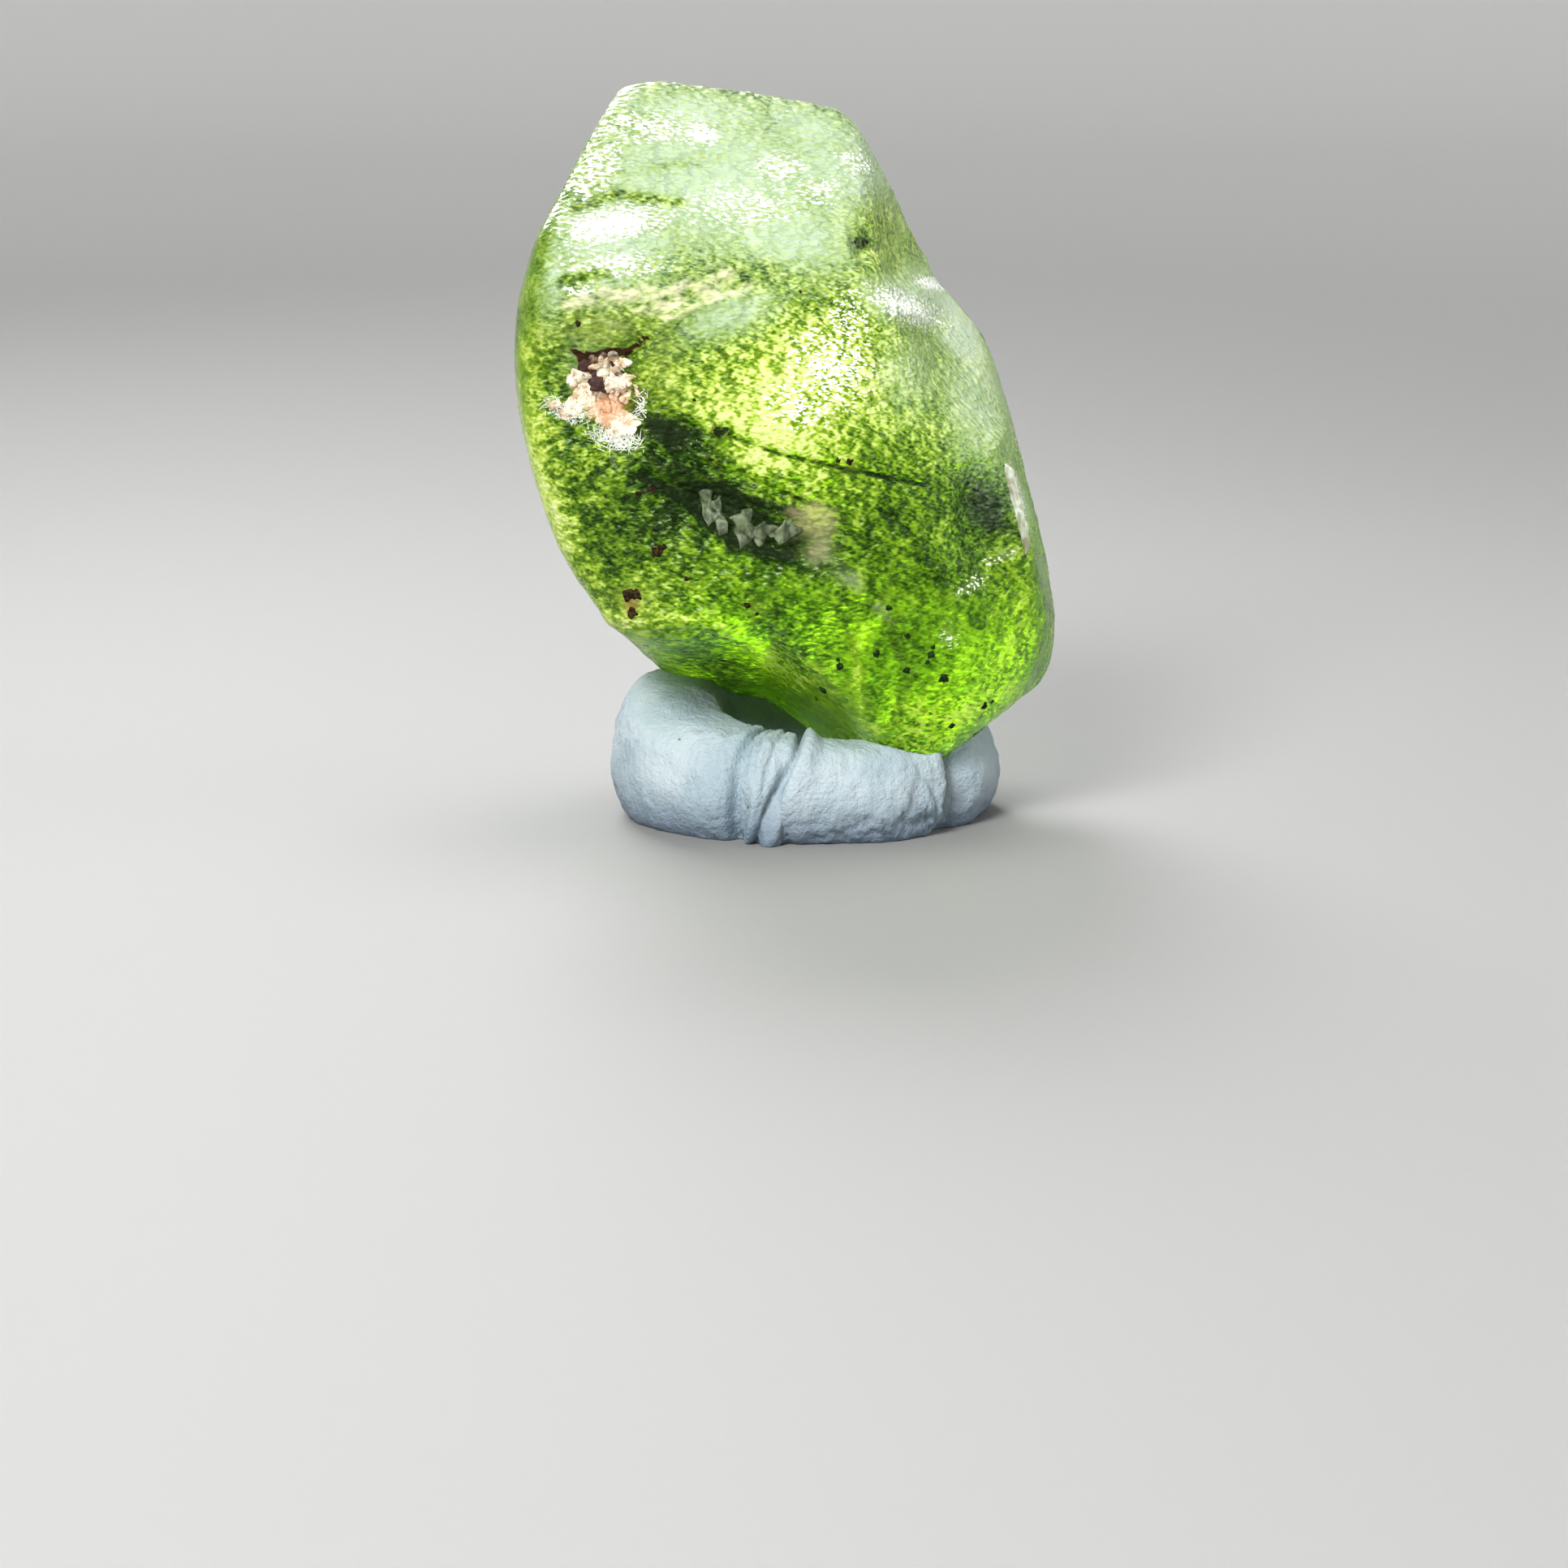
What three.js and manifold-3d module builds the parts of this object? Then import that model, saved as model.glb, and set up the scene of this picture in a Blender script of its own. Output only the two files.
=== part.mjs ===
// A rough peridot crystal, held upright in a ring rolled from mounting putty.
// Millimetres, +Z up, front towards -Y. The origin is on the ground, under the middle of the crystal.
// The crystal is one solid and the putty ring is one solid. The ring's seat is pressed to the crystal's foot.

import * as THREE from "three";
import { mergeVertices } from "three/addons/utils/BufferGeometryUtils.js";
import Module from "manifold-3d";

const wasm = await Module();
wasm.setup();

// Driving dimensions
const HEART = new THREE.Vector3(0, -0.4, 13.6);
const EDGE_ROUNDING = 0.45;
const VALLEY_ROUNDING = 0.12;
const CRYSTAL_DETAIL = 17;
const SEAT_GAP = 0.4;
const RING_MIDDLE = new THREE.Vector2(0.8, -0.2);
const RING_OUTER_RADIUS = 6.9;
const ROLL_WIDTH = 3.7;
const RING_STEPS = 72;
const ROLL_STEPS = 16;
const ROLL_SINK = 0.35;
const ROLL_SQUARENESS = 0.7;
const ROLL_LEAN = 0.35;

const PERIDOT_GREEN = 0x8fbf2a;
const PUTTY_BLUE_GREY = 0xb9cdd6;

function direction(roundDegrees, upDegrees) {
  const round = THREE.MathUtils.degToRad(roundDegrees);
  const up = THREE.MathUtils.degToRad(upDegrees);
  return new THREE.Vector3(Math.cos(up) * Math.cos(round), Math.cos(up) * Math.sin(round), Math.sin(up));
}

// One flat face of the crystal: which way it looks (degrees round from +X towards +Y, then degrees up)
// and how far it lies from the crystal's heart.
function face(round, up, distance) {
  return { normal: direction(round, up), distance };
}

const frontFaces = [
  face(-84, 15, 6.4),
  face(-89, -2, 7.4),
  face(-87, -21, 8.4),
  face(-113, -10, 8.4),
  face(-131, 5, 10.5),
  face(-59, 6, 7.9),
  face(-60, 25, 6.4),
  face(-48, -20, 10.6),
];

const backFaces = [
  face(87, 1, 7.3),
  face(84, 25, 9.1),
  face(90, -44, 9.5),
  face(136, 3, 8.1),
  face(53, 3, 9.6),
];

const leftFaces = [
  face(178, 29, 11.5),
  face(178, 9, 10.2),
  face(-178, -10, 9.3),
  face(-176, -22, 9.0),
  face(-169, -45, 8.95),
];

const topFaces = [
  face(-74, 51, 7.65),
  face(80, 79, 13.3),
  face(8, 71, 12.5),
];

const rightFaces = [
  face(-5, 16, 8.0),
  face(2, 12, 8.8),
  face(-2, -9, 11.0),
  face(-14, -52, 12.6),
];

const shoulderFaces = [face(-6, 41, 7.65), face(-26, 50, 5.65)];
const lobeFaces = [face(-1, 41, 10.15), face(-11, 22, 6.2)];
const undercutFaces = [face(-95, -67, 7.9)];
const footFaces = [face(-154, -44, 6.4), face(0, -90, 12.4), face(180, 0, 7.3)];

// The crystal has three convex parts grown together: the trunk with its right shoulder, the lobe that
// stands higher behind it, and the foot. Valleys run where they meet.
const sides = [...frontFaces, ...backFaces];
const trunk = [...sides, ...leftFaces, ...topFaces, ...rightFaces, ...shoulderFaces, ...undercutFaces];
const lobe = [...sides, ...leftFaces, ...topFaces, ...rightFaces, ...lobeFaces, ...undercutFaces];
const foot = [...sides, ...leftFaces, ...topFaces, ...rightFaces, ...shoulderFaces, ...footFaces];

// Hollows and swells on the surface: the middle, how far it reaches along X, Y and Z, and how deep it goes.
// A negative depth stands out.
function hollow(x, y, z, reachX, reachY, reachZ, depth) {
  return { middle: new THREE.Vector3(x, y, z), reach: new THREE.Vector3(reachX, reachY, reachZ), depth };
}

const hollows = {
  lobeValley: hollow(3.6, 1.5, 20.4, 1.6, 3.0, 1.4, 0.9),
  crustPit: hollow(-6.9, -6.4, 16.1, 1.7, 2.5, 1.9, 1.6),
  crustLip: hollow(-6.4, -6.6, 13.8, 1.6, 1.5, 0.9, -0.3),
  fissureUpper: hollow(-3.0, -7.0, 12.6, 1.7, 2.0, 1.1, 0.5),
  fissureLower: hollow(-0.8, -7.2, 11.2, 1.8, 2.0, 1.1, 0.6),
  sliverHollow: hollow(7.2, -5.3, 11.2, 1.0, 1.6, 1.6, 0.6),
  sliverRidge: hollow(8.8, -4.6, 11.6, 0.6, 1.2, 1.8, -0.35),
  sideNotch: hollow(9.9, -1.8, 6.2, 1.2, 1.2, 1.6, 0.5),
  brightSwell: hollow(1.2, -6.8, 15.2, 3.0, 2.5, 2.4, -0.45),
  lowerBelly: hollow(-4.4, -5.9, 8.0, 2.4, 2.0, 1.6, -0.3),
};

// Distance from the heart to the surface of one convex part. The nearest face wins, and where two faces
// are nearly level the edge between them is rounded off.
function convexReach(faces, look) {
  const reaches = [];
  for (const { normal, distance } of faces) {
    const slant = normal.dot(look);
    if (slant > 0.05) reaches.push(distance / slant);
  }
  const nearest = Math.min(...reaches);
  const spread = reaches.reduce((sum, reach) => sum + Math.exp((nearest - reach) / EDGE_ROUNDING), 0);
  return nearest - EDGE_ROUNDING * Math.log(spread);
}

function crystalReach(look) {
  const reaches = [trunk, lobe, foot].map((faces) => convexReach(faces, look));
  const farthest = Math.max(...reaches);
  const spread = reaches.reduce((sum, reach) => sum + Math.exp((reach - farthest) / VALLEY_ROUNDING), 0);
  return farthest + VALLEY_ROUNDING * Math.log(spread);
}

function hollowDepth(point) {
  let depth = 0;
  for (const dip of Object.values(hollows)) {
    const away = point.clone().sub(dip.middle).divide(dip.reach);
    depth += dip.depth * Math.exp(-away.lengthSq());
  }
  return depth;
}

function withSharedVertices(geometry) {
  geometry.deleteAttribute("normal");
  geometry.deleteAttribute("uv");
  const merged = mergeVertices(geometry, 1e-4);
  merged.computeVertexNormals();
  return merged;
}

// A fine sphere whose every vertex is pushed out along its own direction to the crystal's surface.
function makeCrystalGeometry(growth) {
  const geometry = withSharedVertices(new THREE.IcosahedronGeometry(1, CRYSTAL_DETAIL));
  const positions = geometry.attributes.position;
  const look = new THREE.Vector3();
  for (let i = 0; i < positions.count; i += 1) {
    look.fromBufferAttribute(positions, i).normalize();
    const surface = look.clone().multiplyScalar(crystalReach(look)).add(HEART);
    const reach = surface.distanceTo(HEART) - hollowDepth(surface) + growth;
    const place = look.multiplyScalar(reach).add(HEART);
    positions.setXYZ(i, place.x, place.y, place.z);
  }
  geometry.computeVertexNormals();
  return geometry;
}

// A smooth bump round the ring: 1 at the middle angle, 0 well away from it.
function bumpAt(angle, middleDegrees, widthDegrees) {
  const turn = angle - THREE.MathUtils.degToRad(middleDegrees);
  const away = Math.atan2(Math.sin(turn), Math.cos(turn));
  return Math.exp(-((away / THREE.MathUtils.degToRad(widthDegrees)) ** 2));
}

// The roll is highest at the left, where the stone leans away from it, and lowest at the front.
function rollHeight(angle) {
  return 3.9 + 1.3 * bumpAt(angle, 168, 38) + 0.4 * bumpAt(angle, 80, 50) - 0.5 * bumpAt(angle, -65, 34);
}

// The roll's two ends meet at the front left, in two creases with a folded lip between them, and the
// fingers left a step at the front right.
function ringRadius(angle) {
  const creases = 0.35 * bumpAt(angle, -113, 4) + 0.3 * bumpAt(angle, -98, 4) + 0.45 * bumpAt(angle, -36, 7);
  const presses = 0.25 * bumpAt(angle, -105, 6) + 0.3 * bumpAt(angle, -165, 26) + 0.25 * bumpAt(angle, 8, 22);
  return RING_OUTER_RADIUS - creases + presses;
}

// One closed loop round the roll's section, with its bottom pressed flat on the ground.
function rollSection(angle, step) {
  const round = (step / ROLL_STEPS) * Math.PI * 2;
  const height = rollHeight(angle) + ROLL_SINK;
  const across = Math.sign(Math.cos(round)) * Math.abs(Math.cos(round)) ** ROLL_SQUARENESS;
  const up = Math.sign(Math.sin(round)) * Math.abs(Math.sin(round)) ** ROLL_SQUARENESS;
  const inner = RING_OUTER_RADIUS - ROLL_WIDTH;
  const outer = ringRadius(angle);
  const radius = (outer + inner) / 2 + (across * (outer - inner)) / 2;
  const lean = ROLL_LEAN * Math.max(up, 0);
  const z = (height / 2) * (1 + up) - ROLL_SINK;
  return { radius: radius - lean, z: Math.max(z, 0) };
}

function makeRingGeometry() {
  const positions = [];
  const triangles = [];
  for (let i = 0; i < RING_STEPS; i += 1) {
    const angle = (i / RING_STEPS) * Math.PI * 2;
    for (let j = 0; j < ROLL_STEPS; j += 1) {
      const { radius, z } = rollSection(angle, j);
      positions.push(RING_MIDDLE.x + radius * Math.cos(angle), RING_MIDDLE.y + radius * Math.sin(angle), z);
      const nextI = (i + 1) % RING_STEPS;
      const nextJ = (j + 1) % ROLL_STEPS;
      const here = i * ROLL_STEPS + j;
      const ahead = nextI * ROLL_STEPS + j;
      const above = i * ROLL_STEPS + nextJ;
      const across = nextI * ROLL_STEPS + nextJ;
      triangles.push(here, ahead, across, here, across, above);
    }
  }
  const geometry = new THREE.BufferGeometry();
  geometry.setAttribute("position", new THREE.Float32BufferAttribute(positions, 3));
  geometry.setIndex(triangles);
  return geometry;
}

function toSolid(geometry) {
  const vertProperties = new Float32Array(geometry.attributes.position.array);
  const triVerts = new Uint32Array(geometry.index.array);
  return new wasm.Manifold(new wasm.Mesh({ numProp: 3, vertProperties, triVerts }));
}

function toGeometry(solid) {
  const { vertProperties, triVerts } = solid.getMesh();
  const geometry = new THREE.BufferGeometry();
  geometry.setAttribute("position", new THREE.BufferAttribute(new Float32Array(vertProperties), 3));
  geometry.setIndex(new THREE.BufferAttribute(new Uint32Array(triVerts), 1));
  geometry.computeVertexNormals();
  return geometry;
}

function makeCrystal() {
  const material = new THREE.MeshStandardMaterial({ color: PERIDOT_GREEN, roughness: 0.45, metalness: 0 });
  const mesh = new THREE.Mesh(makeCrystalGeometry(0), material);
  mesh.name = "peridot_crystal";
  return mesh;
}

// The ring keeps the print of the stone's foot, a gap clear of the stone itself.
function makePuttyRing() {
  const material = new THREE.MeshStandardMaterial({ color: PUTTY_BLUE_GREY, roughness: 0.75, metalness: 0 });
  const seat = toSolid(makeCrystalGeometry(SEAT_GAP));
  const roll = toSolid(makeRingGeometry());
  const mesh = new THREE.Mesh(toGeometry(roll.subtract(seat)), material);
  mesh.name = "putty_ring";
  return mesh;
}

const specimen = new THREE.Group();
specimen.name = "peridot_specimen";
specimen.add(makeCrystal(), makePuttyRing());

export default specimen;
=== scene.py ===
"""A rough peridot crystal standing in a ring of mounting putty."""

import math

import bpy
import numpy as np
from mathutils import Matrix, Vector, noise
from mathutils.bvhtree import BVHTree


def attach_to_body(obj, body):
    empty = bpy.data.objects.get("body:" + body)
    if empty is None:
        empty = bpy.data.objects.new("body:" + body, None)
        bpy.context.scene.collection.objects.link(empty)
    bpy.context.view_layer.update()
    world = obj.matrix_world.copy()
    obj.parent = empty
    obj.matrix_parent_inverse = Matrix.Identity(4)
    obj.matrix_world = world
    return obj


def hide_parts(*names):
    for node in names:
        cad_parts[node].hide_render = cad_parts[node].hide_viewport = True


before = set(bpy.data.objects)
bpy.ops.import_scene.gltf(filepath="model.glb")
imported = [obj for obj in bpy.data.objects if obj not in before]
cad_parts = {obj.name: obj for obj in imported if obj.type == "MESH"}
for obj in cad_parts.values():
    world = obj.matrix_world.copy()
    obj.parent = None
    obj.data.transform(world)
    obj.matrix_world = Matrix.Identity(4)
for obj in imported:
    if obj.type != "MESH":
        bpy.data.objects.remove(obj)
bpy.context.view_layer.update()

MM = 0.001

# The front camera, in mm: its picture is as wide as this at the stone
VIEW_RISE = math.radians(11)
VIEW_DISTANCE = 220.0
PICTURE_WIDTH = 57.96
SENSOR_WIDTH = 36.0
LOOK_AT = np.array([0.0, 0.0, 0.95])
SIGHT = np.array([0.0, math.cos(VIEW_RISE), -math.sin(VIEW_RISE)])
ACROSS = np.array([1.0, 0.0, 0.0])
UPWARD = np.array([0.0, math.sin(VIEW_RISE), math.cos(VIEW_RISE)])


# Stage

def make_camera():
    data = bpy.data.cameras.new("front_camera")
    data.sensor_width = SENSOR_WIDTH
    data.lens = SENSOR_WIDTH * VIEW_DISTANCE / PICTURE_WIDTH
    data.clip_start = 1 * MM
    data.clip_end = 10.0
    camera = bpy.data.objects.new("front_camera", data)
    camera.location = Vector((LOOK_AT - SIGHT * VIEW_DISTANCE) * MM)
    camera.rotation_mode = "QUATERNION"
    camera.rotation_quaternion = Vector(SIGHT).to_track_quat("-Z", "Y")
    bpy.context.scene.collection.objects.link(camera)
    bpy.context.scene.camera = camera


BOWL_FLOOR = 0.28
BOWL_BEND = 0.22
BOWL_HEIGHT = 0.5
BEND_STEPS = 16
BOWL_STEPS = 96


def make_studio_bowl():
    """A pale floor that curves up into a wall all round, so that no view shows an edge."""
    profile = [(0.05, 0.0), (0.15, 0.0), (BOWL_FLOOR, 0.0)]
    for i in range(1, BEND_STEPS + 1):
        turn = math.pi / 2 * i / BEND_STEPS
        profile.append((BOWL_FLOOR + BOWL_BEND * math.sin(turn), BOWL_BEND * (1 - math.cos(turn))))
    profile.append((BOWL_FLOOR + BOWL_BEND, BOWL_HEIGHT))
    points, faces = ring_of_profiles(profile, BOWL_STEPS)
    centre, rows = len(points), len(profile)
    points.append((0.0, 0.0, 0.0))
    faces += [(centre, i * rows, ((i + 1) % BOWL_STEPS) * rows) for i in range(BOWL_STEPS)]
    make_object("studio_bowl", points, faces, stage_material())


def ring_of_profiles(profile, steps):
    points = []
    faces = []
    rows = len(profile)
    for i in range(steps):
        turn = 2 * math.pi * i / steps
        points += [(r * math.cos(turn), r * math.sin(turn), z) for r, z in profile]
        near, far = i * rows, ((i + 1) % steps) * rows
        faces += [(near + j, near + j + 1, far + j + 1, far + j) for j in range(rows - 1)]
    return points, faces


def stage_material():
    """Paler towards the wall, which the lamps reach less."""
    material, tree, shader, place = new_material("pale_stage")
    away = add(tree, "ShaderNodeVectorMath", operation="LENGTH", inputs={0: place}).outputs["Value"]
    far = ramp_between(tree, away, 0.08, 0.40)
    finish(tree, shader, blend_colour(tree, far, (0.25, 0.25, 0.245, 1), (0.85, 0.85, 0.84, 1)), 0.7)
    return material


STONE_MIDDLE = Vector((0, 0, 12))


def make_lamp(name, place, size, watts, spread=180):
    """A soft square lamp at a place in mm, aimed at the middle of the stone."""
    data = bpy.data.lights.new(name, "AREA")
    data.size = size * MM
    data.energy = watts
    data.spread = math.radians(spread)
    lamp = bpy.data.objects.new(name, data)
    lamp.location = Vector(place) * MM
    lamp.rotation_mode = "QUATERNION"
    lamp.rotation_quaternion = (STONE_MIDDLE - Vector(place)).to_track_quat("-Z", "Y")
    bpy.context.scene.collection.objects.link(lamp)


def make_lights():
    make_lamp("key_softbox", (-105, -245, 195), 110, 1.55)
    make_lamp("back_softbox", (-70, 220, 150), 120, 0.065, 50)
    make_lamp("right_softbox", (230, -40, 120), 160, 0.18)
    make_lamp("top_softbox", (20, 60, 260), 160, 0.5)
    world = bpy.data.worlds.new("pale_room")
    world.use_nodes = True
    sky = world.node_tree.nodes["Background"]
    sky.inputs["Color"].default_value = (0.86, 0.88, 0.90, 1)
    sky.inputs["Strength"].default_value = 0.08
    bpy.context.scene.world = world
    bpy.context.scene.view_settings.view_transform = "Standard"


# Mesh helpers

def make_object(name, points, faces, material=None):
    mesh = bpy.data.meshes.new(name)
    mesh.from_pydata([tuple(p) for p in points], [], faces)
    mesh.update()
    mesh.shade_smooth()
    if material:
        mesh.materials.append(material)
    made = bpy.data.objects.new(name, mesh)
    bpy.context.scene.collection.objects.link(made)
    return made


def store(made, name, values):
    """Keeps one number per vertex on the mesh, for its material and its skin tree to read."""
    layer = made.data.attributes.new(name, "FLOAT", "POINT")
    layer.data.foreach_set("value", np.asarray(values, np.float32))


def smooth_step(low, high, values):
    t = np.clip((values - low) / (high - low), 0, 1)
    return t * t * (3 - 2 * t)


def unit(vectors):
    return vectors / np.linalg.norm(vectors, axis=-1, keepdims=True)


# The crystal's form, from the same faces and hollows as its solid, in mm

HEART = np.array([0.0, -0.4, 13.6])
EDGE_ROUNDING = 0.45
VALLEY_ROUNDING = 0.12
CRYSTAL_STEPS = 126
CRYSTAL_HALF_SIZES = np.array([10.0, 7.5, 13.0])
FINER_IN_FRONT = np.array([0.0, -2.5, 0.0])


def flat_faces(*faces):
    """Each face: which way it looks, in degrees round and up, and how far it lies from the heart."""
    turned = [(math.radians(turn), math.radians(up), distance) for turn, up, distance in faces]
    return [(math.cos(up) * math.cos(turn), math.cos(up) * math.sin(turn), math.sin(up), distance)
            for turn, up, distance in turned]


FRONT_FACES = flat_faces(
    (-84, 15, 6.4), (-89, -2, 7.4), (-87, -21, 8.4), (-113, -10, 8.4),
    (-131, 5, 10.5), (-59, 6, 7.9), (-60, 25, 6.4), (-48, -20, 10.6),
)
BACK_FACES = flat_faces((87, 1, 7.3), (84, 25, 9.1), (90, -44, 9.5), (136, 3, 8.1), (53, 3, 9.6))
LEFT_FACES = flat_faces(
    (178, 29, 11.5), (178, 9, 10.2), (-178, -10, 9.3), (-176, -22, 9.0), (-169, -45, 8.95),
)
TOP_FACES = flat_faces((-74, 51, 7.65), (80, 79, 13.3), (8, 71, 12.5))
RIGHT_FACES = flat_faces((-5, 16, 8.0), (2, 12, 8.8), (-2, -9, 11.0), (-14, -52, 12.6))
SHOULDER_FACES = flat_faces((-6, 41, 7.65), (-26, 50, 5.65))
LOBE_FACES = flat_faces((-1, 41, 10.15), (-11, 22, 6.2))
UNDERCUT_FACES = flat_faces((-95, -67, 7.9))
FOOT_FACES = flat_faces((-154, -44, 6.4), (0, -90, 12.4), (180, 0, 7.3))

ALL_ROUND = FRONT_FACES + BACK_FACES + LEFT_FACES + TOP_FACES + RIGHT_FACES
TRUNK = ALL_ROUND + SHOULDER_FACES + UNDERCUT_FACES
LOBE = ALL_ROUND + LOBE_FACES + UNDERCUT_FACES
FOOT = ALL_ROUND + SHOULDER_FACES + FOOT_FACES

# Each hollow: its middle, how far it reaches along X, Y and Z, and its depth. A negative depth stands out.
HOLLOWS = [
    ((3.6, 1.5, 20.4), (1.6, 3.0, 1.4), 0.9),
    ((-6.9, -6.4, 16.1), (1.7, 2.5, 1.9), 1.6),
    ((-6.4, -6.6, 13.8), (1.6, 1.5, 0.9), -0.3),
    ((-3.0, -7.0, 12.6), (1.7, 2.0, 1.1), 0.5),
    ((-0.8, -7.2, 11.2), (1.8, 2.0, 1.1), 0.6),
    ((7.2, -5.3, 11.2), (1.0, 1.6, 1.6), 0.6),
    ((8.8, -4.6, 11.6), (0.6, 1.2, 1.8), -0.35),
    ((9.9, -1.8, 6.2), (1.2, 1.2, 1.6), 0.5),
    ((1.2, -6.8, 15.2), (3.0, 2.5, 2.4), -0.45),
    ((-4.4, -5.9, 8.0), (2.4, 2.0, 1.6), -0.3),
]


def convex_reach(faces, looks):
    """Distance from the heart to one convex part: the nearest face wins, and edges are rounded off."""
    table = np.array(faces)
    slant = looks @ table[:, :3].T
    reaches = np.where(slant > 0.05, table[:, 3] / np.maximum(slant, 0.05), 1e3)
    nearest = reaches.min(axis=1)
    spread = np.exp((nearest[:, None] - reaches) / EDGE_ROUNDING).sum(axis=1)
    return nearest - EDGE_ROUNDING * np.log(spread)


def crystal_reach(looks):
    reaches = np.stack([convex_reach(part, looks) for part in (TRUNK, LOBE, FOOT)])
    farthest = reaches.max(axis=0)
    spread = np.exp((reaches - farthest) / VALLEY_ROUNDING).sum(axis=0)
    return farthest + VALLEY_ROUNDING * np.log(spread)


def crystal_surface(looks):
    reach = crystal_reach(looks)
    surface = HEART + looks * reach[:, None]
    depth = np.zeros(len(looks))
    for middle, reaches, deep in HOLLOWS:
        away = (surface - np.array(middle)) / np.array(reaches)
        depth += deep * np.exp(-(away ** 2).sum(axis=1))
    return HEART + looks * (reach - depth)[:, None]


def squares(index):
    """The four corners of each square in a grid of vertex numbers."""
    corners = [index[:-1, :-1], index[1:, :-1], index[1:, 1:], index[:-1, 1:]]
    return np.stack(corners, axis=-1).reshape(-1, 4)


def cube_ball(steps):
    """Directions spread over a ball, as six square grids whose seams are shared."""
    line = np.tan(np.linspace(-1, 1, steps + 1) * math.pi / 4)
    points = []
    faces = []
    index = {}
    for axis in range(3):
        for side in (-1, 1):
            grid = np.empty((steps + 1, steps + 1), int)
            for i in range(steps + 1):
                for j in range(steps + 1):
                    place = np.roll([side, line[i], line[j]], axis)
                    key = tuple(np.round(place, 6))
                    if key not in index:
                        index[key] = len(points)
                        points.append(place)
                    grid[i, j] = index[key]
            quads = squares(grid)
            faces += quads.tolist() if side > 0 else quads[:, ::-1].tolist()
    return np.array(points), faces


# Where things lie on the crystal's front, in mm across and up the picture plane of the front camera

def front_view(points):
    away = points - LOOK_AT
    scale = VIEW_DISTANCE / (away @ SIGHT + VIEW_DISTANCE)
    return away @ ACROSS * scale, away @ UPWARD * scale


def patch(view, across, up, half_width, half_height, tilt=0.0):
    """1 in the middle of an oval, 0.37 at its edge and 0 well outside it."""
    turn = math.radians(tilt)
    x, y = view[0] - across, view[1] - up
    along = x * math.cos(turn) + y * math.sin(turn)
    beside = y * math.cos(turn) - x * math.sin(turn)
    return np.exp(-((along / half_width) ** 2) - (beside / half_height) ** 2)


def stroke(view, places, width):
    """1 along a line through the places, falling away at its width."""
    nearest = np.full(len(view[0]), 1e9)
    for (ax, ay), (bx, by) in zip(places, places[1:]):
        dx, dy = bx - ax, by - ay
        along = np.clip(((view[0] - ax) * dx + (view[1] - ay) * dy) / (dx * dx + dy * dy), 0, 1)
        nearest = np.minimum(nearest, np.hypot(view[0] - ax - along * dx, view[1] - ay - along * dy))
    return np.exp(-((nearest / width) ** 2))


def combined(how, view, patches, strokes):
    total = np.zeros(len(view[0]))
    for strength, *oval in patches:
        total = how(total, strength * patch(view, *oval))
    for strength, places, width in strokes:
        total = how(total, strength * stroke(view, places, width))
    return total


def strongest(view, patches=(), strokes=()):
    """The strongest of several patches and strokes at each point."""
    return combined(np.maximum, view, patches, strokes)


def summed(view, patches=(), strokes=()):
    """Patches and strokes added up, so that one may lower another."""
    return combined(np.add, view, patches, strokes)


LONG_CRACK = [(-2.0, 12.9), (-0.2, 12.2), (2.1, 11.7), (5.1, 11.1)]

# Carving: strength is the height in mm, and a negative one is cut in

CARVED_PATCHES = [
    (-1.0, -6.9, 14.9, 1.3, 1.2), (-0.35, -2.4, 10.2, 2.0, 0.7, -32), (-0.3, 0.4, 8.6, 1.2, 0.6, -20),
    (-0.3, -3.8, 12.8, 1.2, 0.6, -25), (-0.35, 7.4, 10.4, 0.8, 1.1, 20), (-0.4, 3.0, 19.9, 0.5, 0.4),
    (0.25, -6.2, 20.6, 2.2, 0.7, 8), (0.2, 5.0, 18.0, 1.5, 0.5, -30),
]
CARVED_LINES = [
    (-0.16, LONG_CRACK, 0.13),
    (-0.35, [(-5.3, 11.4), (-3.5, 10.4), (-1.8, 9.0), (-0.2, 8.3), (1.0, 8.0)], 0.28),
    (-0.28, [(-5.0, 12.3), (-2.9, 11.7), (-0.2, 10.7), (1.0, 10.2)], 0.22),
    (-0.2, [(-4.4, 13.6), (-3.0, 13.0), (-2.2, 12.2)], 0.25),
    (0.16, [(2.2, 20.0), (3.0, 18.2), (3.5, 17.6), (4.9, 17.2)], 0.28),
    (-0.22, [(-7.8, 21.3), (-6.2, 21.8), (-3.8, 21.5)], 0.35),
    (0.12, [(-6.8, 6.0), (-4.6, 6.1), (-2.6, 6.0), (-1.0, 5.0), (1.0, 3.0)], 0.35),
    (0.14, [(6.2, 12.0), (7.4, 12.2), (8.0, 13.0)], 0.25),
    (0.10, [(2.4, 6.0), (3.0, 4.4), (3.4, 2.6)], 0.25),
    (-0.10, [(3.6, 5.8), (4.4, 4.0), (4.0, 2.4)], 0.25),
    (-0.12, [(5.4, 6.4), (6.8, 6.0), (8.0, 6.6)], 0.2),
    (0.10, [(5.8, 8.0), (7.2, 8.4), (8.6, 8.6)], 0.2),
    (0.18, [(-8.0, 17.8), (-6.5, 18.2), (-5.0, 18.0), (-3.4, 18.6), (-2.0, 19.0)], 0.22),
    (-0.14, [(-7.8, 17.3), (-6.4, 17.7), (-4.9, 17.4), (-3.2, 18.0), (-1.8, 18.4)], 0.16),
    (0.12, [(-4.6, 17.0), (-2.8, 17.6), (-1.2, 18.0)], 0.16),
]

# Finish, with painted light, shade, sheen and glints among it: strength is how strongly each shows

# Painted light and shade: how much lighter or darker the stone's green is made where it glows, shines or lies
# in shade.
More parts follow.
